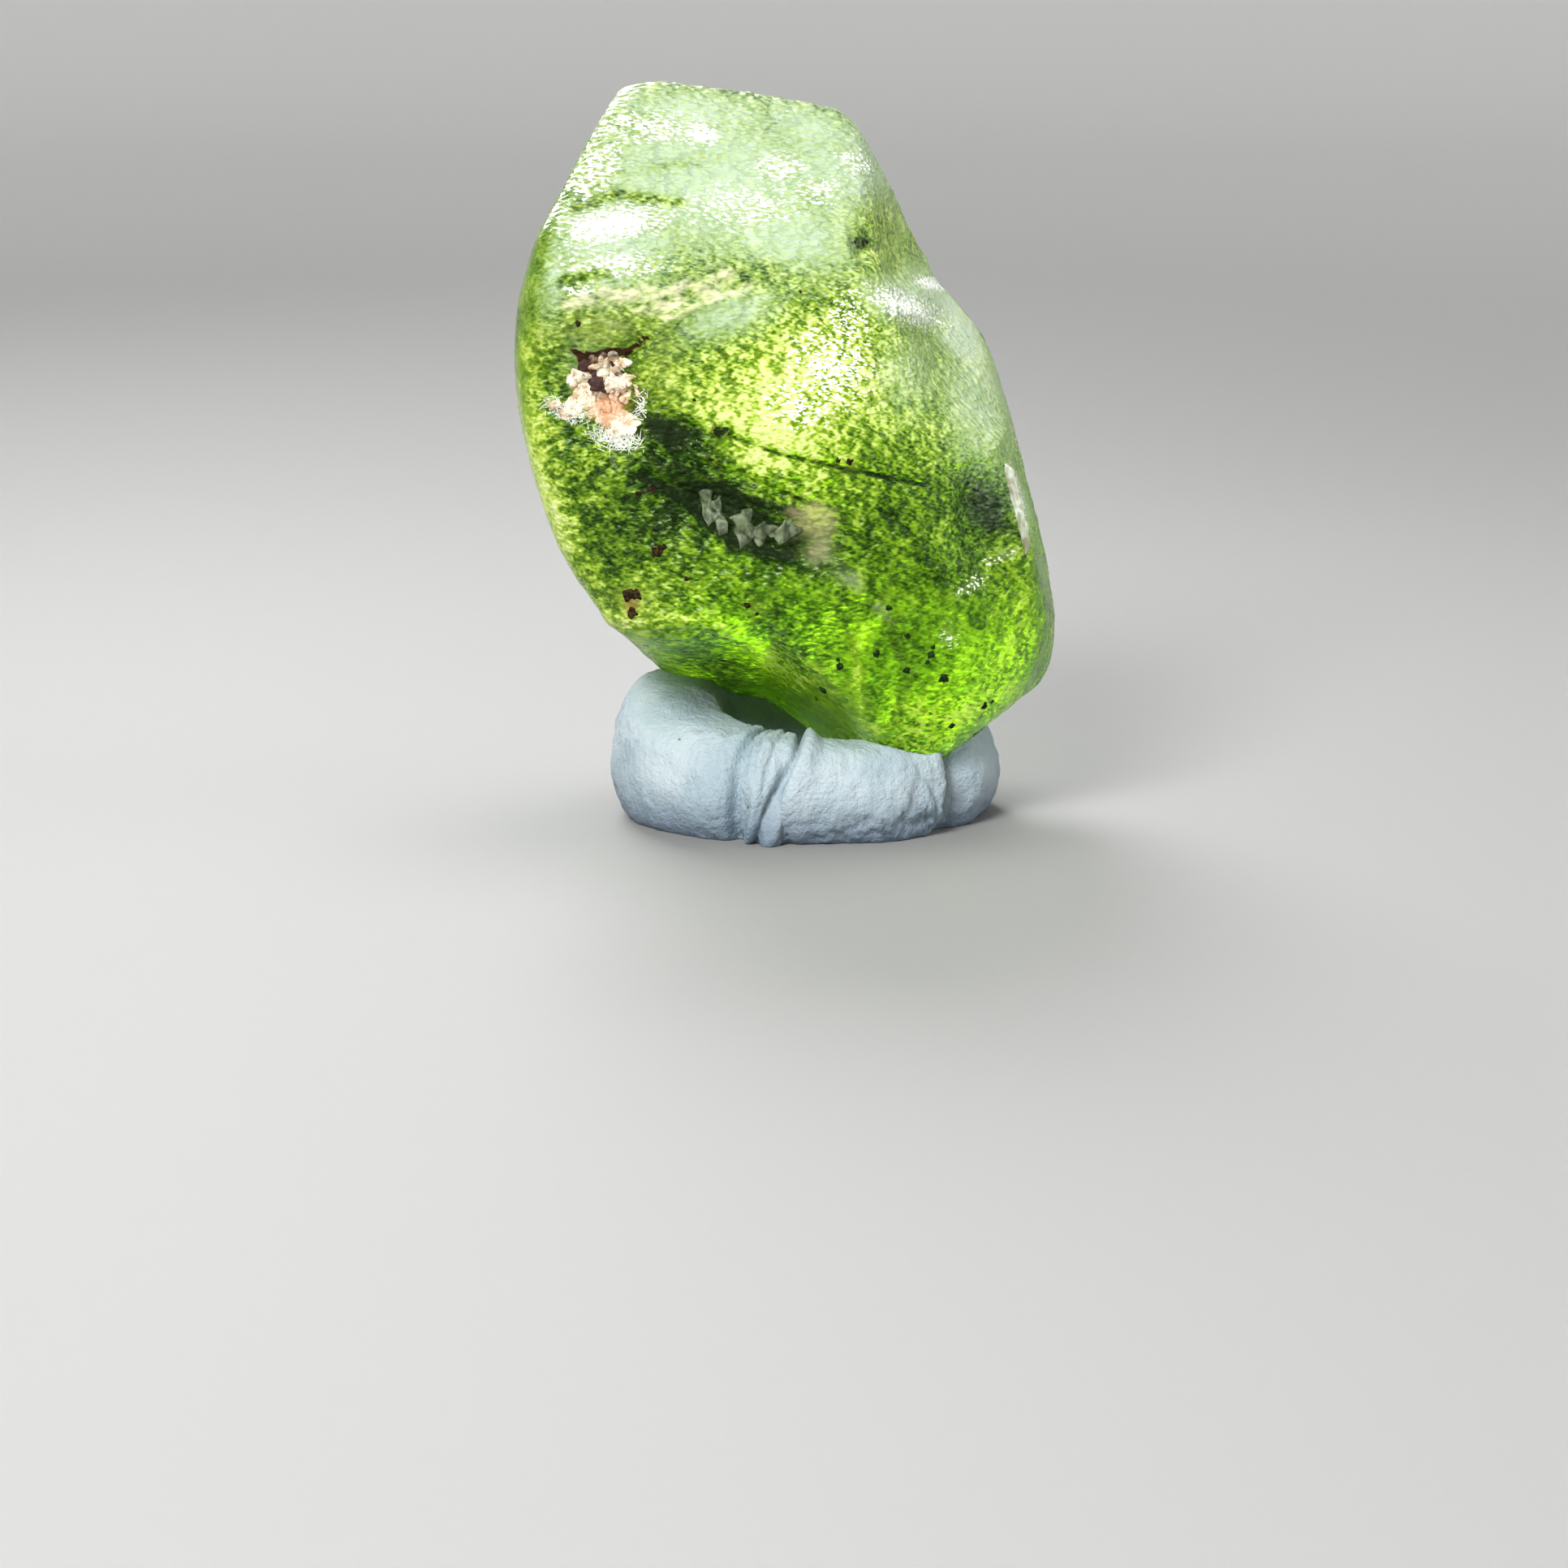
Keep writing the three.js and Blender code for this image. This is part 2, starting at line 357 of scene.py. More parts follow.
PAINTED_LIGHT_AND_SHADE = [
    (0.38, 1.2, 15.0, 2.8, 2.2, 10), (0.16, -2.4, 14.6, 2.2, 1.5), (0.32, -1.0, 12.6, 2.6, 1.1, -20),
    (0.34, 6.6, 16.6, 0.6, 1.8, 22), (0.14, 8.4, 5.4, 0.7, 1.8, -15), (-0.50, -3.9, 12.9, 1.4, 0.9, -28),
    (-0.46, -2.4, 10.1, 2.4, 0.9, -30), (-0.40, 0.2, 8.8, 1.6, 0.8, -20), (-0.30, -5.8, 9.6, 1.9, 2.0),
    (-0.40, 7.4, 10.3, 1.0, 1.4, 20), (-0.16, 4.4, 9.0, 2.8, 2.6), (-0.10, -3.6, 16.6, 2.0, 1.0),
    (-0.22, 5.0, 5.0, 3.6, 2.4, 20), (0.12, 1.8, 1.8, 2.2, 1.2), (0.22, 3.7, 20.5, 0.9, 1.2, 10),
    (0.22, -9.3, 13.2, 0.7, 4.6, 4),
    (0.08, -5.0, 5.2, 2.6, 1.0, -10), (-0.16, -0.6, 6.4, 2.4, 1.6, -20), (0.04, 5.6, 12.8, 2.0, 2.4, 20),
    (0.35, -8.2, 9.0, 0.7, 2.6, 24), (-0.45, -2.4, 4.2, 2.0, 0.9, -35),
]
PAINTED_LIGHT_AND_SHADE_LINES = [
    (-0.3, LONG_CRACK, 0.12),
    (0.24, [(-6.8, 6.0), (-4.6, 6.1), (-2.6, 6.0), (-1.0, 5.0), (0.4, 3.6)], 0.35),
    (0.25, [(3.0, 5.8), (2.6, 4.4), (2.9, 2.8)], 0.3),
    (0.2, [(4.4, 2.8), (6.4, 2.4), (8.4, 3.4)], 0.3),
]
# Frosted skin; its whiteness is partly painted sheen where the light from above catches it.
FROST_AND_SHEEN = [
    (1.0, -2.6, 22.4, 6.4, 3.6, -8), (1.0, -6.2, 20.2, 3.2, 2.4, 20), (0.9, 1.6, 22.6, 3.0, 2.6, -35),
    (1.0, 5.6, 17.9, 2.2, 1.3, -35), (0.8, 7.2, 14.2, 1.7, 3.4, 10), (0.95, 0.2, 20.2, 3.4, 2.0),
    (1.0, 2.8, 22.6, 1.8, 3.0, 10), (0.9, -3.4, 24.8, 4.0, 1.2, -5), (0.9, 1.0, 24.2, 3.0, 1.2, -25),
    (1.0, 6.6, 16.6, 1.2, 1.6, 30), (1.1, 4.3, 17.8, 1.8, 0.9, -25), (0.85, -2.0, 17.4, 2.4, 1.0, 20),
    (0.6, 4.8, 15.2, 1.6, 2.0),
    (0.45, -7.4, 15.6, 1.0, 1.6), (0.75, -8.4, 18.8, 0.8, 2.0, -10), (0.9, 8.7, 10.6, 0.35, 1.7, 15),
]
FROST_GAPS = [(0.9, 3.5, 20.5, 0.8, 1.2, 10), (0.5, -1.0, 18.9, 2.0, 0.6), (0.4, -4.0, 22.9, 1.6, 0.3, 10)]
FROST_GAP_LINES = [
    (0.8, [(-7.8, 21.2), (-6.2, 21.8), (-3.8, 21.5)], 0.2), (0.8, [(-8.2, 18.6), (-6.6, 18.9)], 0.2),
    (0.95, [(-6.9, 25.4), (-8.7, 21.8), (-9.8, 18.2), (-10.0, 15.0)], 0.5),
]
# Painted glints: white highlights laid into the colour.
PAINTED_GLINTS = [
    (0.56, 1.7, 15.4, 1.7, 1.7), (0.45, 2.4, 17.2, 1.0, 1.4), (0.50, 0.6, 14.0, 1.6, 1.0),
    (0.85, -6.3, 20.7, 2.0, 0.7, 10), (0.54, -7.0, 22.6, 1.7, 0.9, 50), (0.9, -3.1, 24.0, 0.7, 0.42, -10),
    (0.52, -0.2, 22.8, 1.1, 0.6), (0.50, 1.3, 21.9, 1.0, 0.6), (0.50, -5.0, 24.3, 2.2, 0.7),
    (0.62, -6.3, 19.2, 2.0, 0.5), (0.85, 5.4, 18.5, 0.6, 0.25, -15), (0.68, 4.5, 17.6, 1.7, 0.6, -22),
    (0.40, 7.0, 7.4, 0.8, 0.3, 30), (0.40, 8.0, 8.4, 0.8, 0.25, 20), (0.38, 6.1, 5.4, 0.4, 0.5),
    (0.45, 8.7, 10.6, 0.25, 1.3, 15),
    (0.50, 2.6, 23.0, 0.9, 0.5, -30), (0.48, -1.6, 21.4, 2.4, 0.9), (0.62, -8.1, 13.8, 0.7, 0.3, -20),
    (0.62, -6.2, 12.7, 0.7, 0.3, -10), (0.55, 8.8, 13.0, 0.35, 1.6, 10), (0.5, -7.6, 18.3, 0.8, 0.4),
]
# Dark cracks and inclusions, and painted shade where the stone looks dark.
CRACKS_AND_PAINTED_SHADE = [
    (1.5, -4.3, 13.0, 1.1, 0.5, -30), (1.3, -2.3, 13.0, 0.6, 0.28), (1.4, -2.3, 10.5, 2.2, 0.7, -28),
    (1.5, -0.5, 9.3, 1.2, 0.6, -15), (1.0, 7.5, 10.3, 0.8, 1.1, 20), (1.6, 2.85, 20.0, 0.36, 0.28),
    (0.8, -4.7, 9.5, 0.35, 0.3), (0.75, -4.5, 11.6, 1.2, 0.4, -30), (0.8, -2.4, 11.8, 1.8, 0.35, -18),
    (0.6, -5.6, 9.3, 0.5, 0.3), (1.5, -1.6, 9.7, 1.5, 0.8, -24), (0.7, -3.6, 11.2, 1.6, 0.5, -28),
    (0.6, -2.4, 4.2, 0.8, 0.5, -40), (0.5, 3.6, 20.6, 0.2, 0.5),
]
CRACK_AND_PAINTED_SHADE_LINES = [
    (0.85, LONG_CRACK, 0.08),
    (1.4, [(-5.3, 11.4), (-3.5, 10.4), (-1.8, 8.9), (0.2, 8.4)], 0.26),
    (1.3, [(-2.4, 11.0), (-0.9, 10.3), (0.4, 10.1)], 0.22),
    (0.8, [(-2.6, 13.6), (-2.5, 12.6), (-3.0, 11.9)], 0.14),
    (0.7, [(-3.2, 13.1), (-1.6, 12.9)], 0.12), (0.8, [(-6.0, 10.5), (-4.9, 10.9), (-4.2, 10.6)], 0.10),
    (0.8, [(-4.4, 10.3), (-3.6, 9.6), (-2.8, 9.1)], 0.14),
    (0.8, [(-4.0, 11.6), (-3.0, 11.1), (-2.2, 10.9)], 0.12),
    (0.7, [(0.0, 10.8), (1.2, 10.3)], 0.10), (0.7, [(6.6, 11.4), (7.2, 10.6), (7.6, 9.6)], 0.12),
    (0.6, [(7.0, 10.9), (7.9, 9.9), (8.2, 8.9)], 0.10),
]
CREAM = [
    (0.66, -6.0, 18.0, 1.8, 0.45, 8), (0.70, -2.6, 18.3, 1.3, 0.45, 25), (0.66, -4.4, 17.7, 1.5, 0.5, 12),
    (0.30, -6.2, 17.0, 1.6, 0.8),
]
CREAM_LINES = [
    (0.62, [(-8.0, 17.7), (-6.5, 18.1), (-5.0, 17.9), (-3.4, 18.5), (-2.0, 18.9)], 0.34),
    (0.55, [(-4.4, 17.2), (-2.8, 17.9), (-1.2, 18.4)], 0.3),
]
STAIN = [
    (0.9, -6.8, 16.8, 1.8, 0.7, 5), (0.6, -4.6, 15.6, 0.8, 1.6), (0.7, 2.4, 11.9, 0.4, 0.3),
    (0.9, -5.6, 6.8, 0.7, 0.6), (0.5, -1.0, 6.5, 0.4, 0.3), (0.5, 1.9, 13.6, 0.4, 0.4),
]
BEIGE = [(1.15, 1.1, 9.7, 1.0, 0.8, -10), (0.8, 1.3, 8.8, 0.8, 0.7)]
GREY = [(0.9, 1.3, 8.7, 0.7, 0.7), (0.7, 2.4, 7.6, 1.0, 0.45, -30), (0.6, 3.6, 6.4, 0.8, 0.35, -45),
        (0.6, 7.0, 7.4, 0.9, 0.35, 30), (0.6, 8.0, 8.4, 0.9, 0.25, 20), (0.5, 6.1, 5.4, 0.5, 0.6)]
CRUST = [(1.0, -6.7, 14.7, 1.25, 1.3), (0.8, -6.2, 13.4, 0.9, 0.7), (0.7, -8.0, 13.8, 0.7, 0.4, -20)]
RUST = [(0.9, -6.4, 13.9, 0.9, 0.7), (0.5, -5.4, 14.4, 0.3, 0.5), (0.62, -5.65, 6.65, 0.42, 0.5)]
SCAR = [(1.0, -7.3, 15.7, 0.38, 0.34), (1.0, -7.0, 14.75, 0.34, 0.28), (0.8, -6.0, 15.2, 0.22, 0.18)]
SCAR_LINES = [
    (1.0, [(-7.9, 16.1), (-7.3, 15.75), (-6.6, 16.0), (-5.7, 16.0), (-5.1, 16.5)], 0.16),
    (1.0, [(-7.3, 15.75), (-7.15, 15.2), (-6.9, 14.7), (-6.5, 14.3)], 0.17),
    (0.8, [(-6.6, 16.0), (-6.3, 15.4), (-5.6, 15.1)], 0.10),
]
FRINGE = [
    (1.3, -8.1, 13.8, 0.9, 0.35, -25), (1.4, -6.2, 12.75, 1.0, 0.38, -15), (0.6, -5.2, 14.0, 0.25, 0.8),
    (0.3, -8.3, 15.2, 0.3, 0.7), (0.4, -7.2, 13.2, 0.5, 0.3, -30),
]
SMOOTH = [
    (0.2, -4.7, 5.0, 2.6, 1.1, -10), (0.9, 1.6, 2.6, 2.6, 1.6), (0.6, -1.6, 3.6, 1.6, 1.0, -30),
    (0.72, 4.4, 5.0, 4.8, 2.8, 10), (0.4, 0.4, 7.4, 4.0, 1.2, -10),
]
SMOOTH_LINES = [
    (1.0, [(-8.6, 22.0), (-9.6, 18.4), (-9.9, 14.0), (-9.3, 10.0), (-8.2, 7.4), (-6.4, 4.6)], 0.75),
    (0.8, [(-7.0, 25.2), (-8.6, 22.0)], 0.6),
    (0.7, [(4.6, 22.0), (4.3, 19.6), (6.6, 17.2), (9.0, 13.0)], 0.35),
    (0.6, [(9.4, 8.0), (9.6, 5.0), (7.6, 2.2), (4.2, 0.2)], 0.6),
]


def lumpy(points, size, octaves=3):
    """Smooth noise between about -1 and 1, in lumps of a size in mm. Each octave is twice as fine."""
    return np.array([noise.fractal(Vector(point) / size, 1.0, 2.0, octaves) for point in points])


def vertex_normals(made):
    normals = np.empty(len(made.data.vertices) * 3, np.float32)
    made.data.vertex_normals.foreach_get("vector", normals)
    return normals.reshape(-1, 3)


def in_front(normals):
    """1 where the surface faces the front camera, 0 where it faces away."""
    return smooth_step(-0.10, 0.12, -(normals @ SIGHT))


TERRACE_SIZE = 5.0
TERRACE_HEIGHT = 0.11
TERRACES = 3
HIDDEN_FROST_AND_SHEEN_HEIGHT = 17


def etched_steps(points, normals):
    """Low terraces on the back. They end before the front camera's outline and above the putty."""
    level = lumpy(points, TERRACE_SIZE, 2) * TERRACES
    terrace = np.floor(level) + smooth_step(0.25, 0.75, level % 1.0)
    behind = smooth_step(0.05, 0.35, normals @ SIGHT)
    return terrace * TERRACE_HEIGHT * behind * smooth_step(4.0, 7.0, points[:, 2])


def hidden_finish(points, normals):
    """For the back: a frosted skin with painted sheen on what faces up, and paler, darker and smoother
    patches.
    """
    rising = normals[:, 2] + 0.9 * lumpy(points, 4.0) + (points[:, 2] - HIDDEN_FROST_AND_SHEEN_HEIGHT) / 12
    return {
        "frost_and_sheen": 0.9 * smooth_step(0.0, 0.9, rising),
        "light": 0.26 * lumpy(points + 40, 2.6),
        "smooth": 0.8 * smooth_step(-0.1, 0.35, lumpy(points + 80, 4.5)),
    }


def carve(points, looks, normals, facing):
    """Cuts the pits, cracks and grooves and raises the rims, all broken up a little."""
    view = front_view(points)
    wander = lumpy(points, 0.9) * 0.14
    view = (view[0] + wander, view[1] - wander)
    height = summed(view, CARVED_PATCHES, CARVED_LINES)
    height += strongest(view, CRUST) * (lumpy(points, 0.5, 2) * 0.5 + 0.25)
    height -= strongest(view, SCAR, SCAR_LINES) * 0.4
    height = height * facing + etched_steps(points, normals)
    return points + looks * height[:, None]


# The glint zone is painted white highlights, the frosted zone carries painted sheen, the dark zone is cracks
# and inclusions with painted shade.
ZONES = {
    "frost_and_sheen": (FROST_AND_SHEEN,), "painted_glints": (PAINTED_GLINTS,), "dark": (CRACKS_AND_PAINTED_SHADE, CRACK_AND_PAINTED_SHADE_LINES), "cream": (CREAM, CREAM_LINES),
    "stain": (STAIN,), "beige": (BEIGE,), "grey": (GREY,), "crust": (CRUST,), "rust": (RUST,),
    "fringe": (FRINGE,), "scar": (SCAR, SCAR_LINES), "smooth": (SMOOTH, SMOOTH_LINES),
}
MIDDLE_TONE = 0.5


def paint_crystal(crystal, points, normals, facing):
    """Stores each zone's strength on the mesh: as listed on the front, and plausibly behind."""
    view = front_view(points)
    zones = {name: strongest(view, *lists) for name, lists in ZONES.items()}
    unfrosted = 1 - strongest(view, FROST_GAPS, FROST_GAP_LINES)
    zones["frost_and_sheen"] *= unfrosted
    zones["painted_glints"] *= unfrosted
    zones["crust"] = smooth_step(0.25, 0.75, zones["crust"])
    zones["fringe"] = smooth_step(0.2, 0.9, zones["fringe"])
    # The light zone: painted light and shade over the middle tone.
    zones["light"] = summed(view, PAINTED_LIGHT_AND_SHADE, PAINTED_LIGHT_AND_SHADE_LINES)
    behind = hidden_finish(points, normals)
    for name, values in zones.items():
        zones[name] = values * facing + behind.get(name, 0) * (1 - facing)
    zones["light"] += MIDDLE_TONE
    for name, values in zones.items():
        store(crystal, name, values)


def make_crystal():
    looks, faces = cube_ball(CRYSTAL_STEPS)
    looks = unit(unit(looks) * CRYSTAL_HALF_SIZES + FINER_IN_FRONT)
    uncut = crystal_surface(looks)
    crystal = make_object("rough_crystal", uncut * MM, faces)
    normals = vertex_normals(crystal)
    facing = in_front(normals)
    points = carve(uncut, looks, normals, facing)
    crystal.data.vertices.foreach_set("co", (points * MM).astype(np.float32).ravel())
    paint_crystal(crystal, points, normals, facing)
    sizes = {"Grain Size": 0.42 * MM, "Grain Height": 0.16 * MM, "Wrinkle Size": 1.5 * MM,
             "Wrinkle Height": 0.26 * MM, "Seed": 4.0}
    run_tree(crystal, etched_skin_tree(), sizes, peridot_material())
    return crystal


# Geometry Nodes

def new_tree(name, sizes):
    """A tree with one geometry going through it, and a named input for each size and for the material."""
    tree = bpy.data.node_groups.new(name, "GeometryNodeTree")
    tree.interface.new_socket("Geometry", in_out="OUTPUT", socket_type="NodeSocketGeometry")
    tree.interface.new_socket("Geometry", in_out="INPUT", socket_type="NodeSocketGeometry")
    for size in sizes:
        tree.interface.new_socket(size, in_out="INPUT", socket_type="NodeSocketFloat")
    tree.interface.new_socket("Material", in_out="INPUT", socket_type="NodeSocketMaterial")
    return tree, tree.nodes.new("NodeGroupInput").outputs


def end_tree(tree, asked, geometry):
    real = first(tree, "GeometryNodeRealizeInstances", Geometry=geometry)
    finished = first(tree, "GeometryNodeSetMaterial", Geometry=real, Material=asked["Material"])
    end = tree.nodes.new("NodeGroupOutput")
    tree.links.new(finished, end.inputs["Geometry"])
    return tree


def run_tree(made, tree, values, material):
    """Runs the tree on the object and leaves its result as a plain mesh."""
    modifier = made.modifiers.new(tree.name, "NODES")
    modifier.node_group = tree
    values = dict(values, Material=material)
    for socket in tree.interface.items_tree:
        if socket.in_out == "INPUT" and socket.name in values:
            modifier[socket.identifier] = values[socket.name]
    scene = bpy.context.evaluated_depsgraph_get()
    mesh = bpy.data.meshes.new_from_object(made.evaluated_get(scene), preserve_all_data_layers=True,
                                           depsgraph=scene)
    made.modifiers.remove(modifier)
    made.data = mesh


def lump_field(tree, size, seed, detail):
    """Noise between about -0.5 and 0.5 in lumps of a size, over the whole surface."""
    scale = calculate(tree, "DIVIDE", 1.0, size)
    place = add(tree, "GeometryNodeInputPosition").outputs[0]
    values = {"Vector": place, "W": seed, "Scale": scale, "Detail": detail}
    lumps = add(tree, "ShaderNodeTexNoise", noise_dimensions="4D", inputs=values).outputs[0]
    return calculate(tree, "SUBTRACT", lumps, 0.5)


def zone_field(tree, name):
    return add(tree, "GeometryNodeInputNamedAttribute", data_type="FLOAT", inputs={"Name": name}).outputs[0]


def vector_of(tree, x, y, z):
    return first(tree, "ShaderNodeCombineXYZ", X=x, Y=y, Z=z)


def push_out(tree, geometry, height):
    """Moves every point along its normal."""
    normal = add(tree, "GeometryNodeInputNormal").outputs[0]
    values = {0: normal, "Scale": height}
    offset = add(tree, "ShaderNodeVectorMath", operation="SCALE", inputs=values).outputs[0]
    return first(tree, "GeometryNodeSetPosition", Geometry=geometry, Offset=offset)


def etched_skin_tree():
    """Roughens the surface with fine grains over broader wrinkles, less where the stone is smooth."""
    sizes = ("Grain Size", "Grain Height", "Wrinkle Size", "Wrinkle Height", "Seed")
    tree, asked = new_tree("etched_skin", sizes)
    grains = lump_field(tree, asked["Grain Size"], asked["Seed"], 1.0)
    wrinkles = lump_field(tree, asked["Wrinkle Size"], asked["Seed"], 2.0)
    height = times(tree, grains, asked["Grain Height"])
    height = weigh(tree, wrinkles, asked["Wrinkle Height"], height)
    rough = weigh(tree, zone_field(tree, "smooth"), -0.8, 1.0)
    return end_tree(tree, asked, push_out(tree, asked["Geometry"], times(tree, height, rough)))


def random_vector(tree, lowest, highest, seed):
    values = {0: lowest, 1: highest, "Seed": seed}
    return add(tree, "FunctionNodeRandomValue", data_type="FLOAT_VECTOR", inputs=values).outputs[0]


def spots_in_zone(tree, asked, zone):
    """Points spread over the part of the stone where a zone is strong, no closer than the spacing."""
    values = {"Mesh": asked["Geometry"], "Distance Min": asked["Spacing"], "Density Max": asked["Density"],
              "Density Factor": zone_field(tree, zone), "Seed": asked["Seed"]}
    spots = add(tree, "GeometryNodeDistributePointsOnFaces", distribute_method="POISSON", inputs=values)
    return spots.outputs


def place_on(tree, spots, shape, turn, size):
    return first(tree, "GeometryNodeInstanceOnPoints", Points=spots["Points"], Instance=shape, Rotation=turn,
                 Scale=size)


def crust_grain_tree():
    """Flat ragged lumps of unequal size, half sunk in the pit so that they grow into one crust."""
    sizes = ("Spacing", "Density", "Narrowest", "Widest", "Lowest", "Highest", "Raggedness", "Seed")
    tree, asked = new_tree("crust_grains", sizes)
    spots = spots_in_zone(tree, asked, "crust")
    lump = first(tree, "GeometryNodeMeshIcoSphere", Radius=1.0, Subdivisions=3)
    smallest = vector_of(tree, asked["Narrowest"], asked["Narrowest"], asked["Lowest"])
    largest = vector_of(tree, asked["Widest"], asked["Widest"], asked["Highest"])
    size = random_vector(tree, smallest, largest, asked["Seed"])
    placed = place_on(tree, spots, lump, spots["Rotation"], size)
    real = first(tree, "GeometryNodeRealizeInstances", Geometry=placed)
    ragged = lump_field(tree, asked["Widest"], asked["Seed"], 2.0)
    return end_tree(tree, asked, push_out(tree, real, times(tree, ragged, asked["Raggedness"])))


FIBRE_SPLAY = 1.1
FULL_TURN = 6.28


def crust_fibre_tree():
    """Fine tapering needles that stand on the edge of the pit, splayed out."""
    tree, asked = new_tree("crust_fibres", ("Spacing", "Density", "Thickness", "Shortest", "Longest", "Seed"))
    spots = spots_in_zone(tree, asked, "fringe")
    values = {"Vertices": 5, "Radius Top": 0.15, "Radius Bottom": 1.0, "Depth": 1.0}
    needle = add(tree, "GeometryNodeMeshCone", inputs=values).outputs[0]
    splay = random_vector(tree, (-FIBRE_SPLAY, -FIBRE_SPLAY, 0), (FIBRE_SPLAY, FIBRE_SPLAY, FULL_TURN),
                          asked["Seed"])
    values = {"Rotation": spots["Rotation"], "Rotate By": splay}
    turn = add(tree, "FunctionNodeRotateRotation", rotation_space="LOCAL", inputs=values).outputs[0]
    values = {2: asked["Shortest"], 3: asked["Longest"], "Seed": asked["Seed"]}
    length = add(tree, "FunctionNodeRandomValue", data_type="FLOAT", inputs=values).outputs[1]
    size = vector_of(tree, asked["Thickness"], asked["Thickness"], length)
    return end_tree(tree, asked, place_on(tree, spots, needle, turn, size))


def grown_on(crystal, name, tree, values, material):
    """A new piece that a tree grows on the stone's surface."""
    piece = bpy.data.objects.new(name, crystal.data.copy())
    bpy.context.scene.collection.objects.link(piece)
    run_tree(piece, tree, values, material)
    return piece


def make_crust(crystal):
    values = {"Spacing": 0.15 * MM, "Density": 7.0e7, "Narrowest": 0.10 * MM, "Widest": 0.29 * MM,
              "Lowest": 0.04 * MM, "Highest": 0.13 * MM, "Raggedness": 0.20 * MM, "Seed": 3.0}
    return grown_on(crystal, "pit_crust", crust_grain_tree(), values, crust_material())


def make_fibres(crystal):
    values = {"Spacing": 0.045 * MM, "Density": 2.0e8, "Thickness": 0.021 * MM, "Shortest": 0.15 * MM,
              "Longest": 0.50 * MM, "Seed": 5.0}
    return grown_on(crystal, "pit_fibres", crust_fibre_tree(), values, fibre_material())


# Flakes and specks that lie on the stone, placed in the front camera's picture plane

def on_stone(surface, across, up):
    """The point of the stone that the camera sees at a place in the picture plane, and its normal, in mm."""
    eye = LOOK_AT - SIGHT * VIEW_DISTANCE
    look = unit(LOOK_AT + ACROSS * across + UPWARD * up - eye)
    place, normal, _, _ = surface.ray_cast(Vector(eye * MM), Vector(look))
    if place is None:
        beside = HEART + ACROSS * (across - HEART[0]) + UPWARD * (up + LOOK_AT[2] - HEART[2])
        place, normal, _, _ = surface.find_nearest(Vector(beside * MM))
    return np.array(place) / MM, np.array(normal)


FLAKE_STEPS = 18
FLAKE_SUNK = 0.12
WANDER_APART = Vector((9.3, -1.5, -8.0))
FLAKE_TUCK = 0.02
WANDERS_PER_MM = 3.2
GRAINS_PER_MM = 4
RIM_STEEPNESS = 12


def flake(surface, corners, thickness, ragged):
    """A thin broken flake over four corners, from the top left round it. It is thickest along its right-hand
    rim, and it is closed, with its underside sunk in the stone."""
    a, b, c, d = [np.array(corner) for corner in corners]
    top = np.empty((FLAKE_STEPS + 1, FLAKE_STEPS + 1, 3))
    bottom = np.empty_like(top)
    for i in range(FLAKE_STEPS + 1):
        for j in range(FLAKE_STEPS + 1):
            u, v = i / FLAKE_STEPS, j / FLAKE_STEPS
            spot = (a * (1 - u) + b * u) * (1 - v) + (d * (1 - u) + c * u) * v
            rim = min(u, 1 - u, v, 1 - v)
            here = Vector((*(spot * WANDERS_PER_MM), thickness * 50))
            wander = np.array([noise.noise(here), noise.noise(here + WANDER_APART)])
            place, normal = on_stone(surface, *(spot + wander * ragged))
            grain = noise.noise(Vector(place) * GRAINS_PER_MM)
            lift = thickness * (0.2 + 0.8 * u) * (1 + 0.6 * grain) * min(rim * RIM_STEEPNESS, 1)
            top[i, j] = place + normal * (lift - FLAKE_TUCK)
            bottom[i, j] = place - normal * FLAKE_SUNK
    return closed_sheet(top, bottom)


def closed_sheet(top, bottom):
    """Two grids of points joined round their rims into one closed shell."""
    rows, columns = top.shape[:2]
    count = rows * columns
    index = np.arange(count).reshape(rows, columns)
    corners = squares(index)
    rim = [*index[:, 0], *index[-1, 1:], *index[::-1, -1][1:], *index[0, ::-1][1:-1]]
    walls = [(near, near + count, far + count, far) for near, far in zip(rim, rim[1:] + rim[:1])]
    faces = corners.tolist() + (corners[:, ::-1] + count).tolist() + walls
    return np.concatenate([top.reshape(-1, 3), bottom.reshape(-1, 3)]), faces


# Each flake: its corners round it, how thick it is and how ragged its rim is, in mm
FISSURE_FLAKES = [
    ([(-3.20, 10.80), (-2.72, 10.95), (-2.50, 9.70), (-2.85, 9.40)], 0.18, 0.12),
    ([(-2.72, 10.45), (-2.32, 10.65), (-2.08, 9.35), (-2.42, 9.05)], 0.24, 0.12),
    ([(-2.00, 9.85), (-1.20, 10.25), (-1.05, 9.10), (-1.60, 8.60)], 0.26, 0.15),
    ([(-1.40, 9.25), (-0.75, 9.75), (-0.20, 9.50), (-0.95, 8.75)], 0.18, 0.15),
    ([(-0.75, 9.30), (0.20, 9.80), (0.75, 9.35), (-0.10, 8.75)], 0.12, 0.15),
]
SLIVER_FLAKES = [
    ([(8.08, 11.8), (8.28, 11.95), (9.12, 8.75), (8.95, 8.35)], 0.18, 0.06),
]

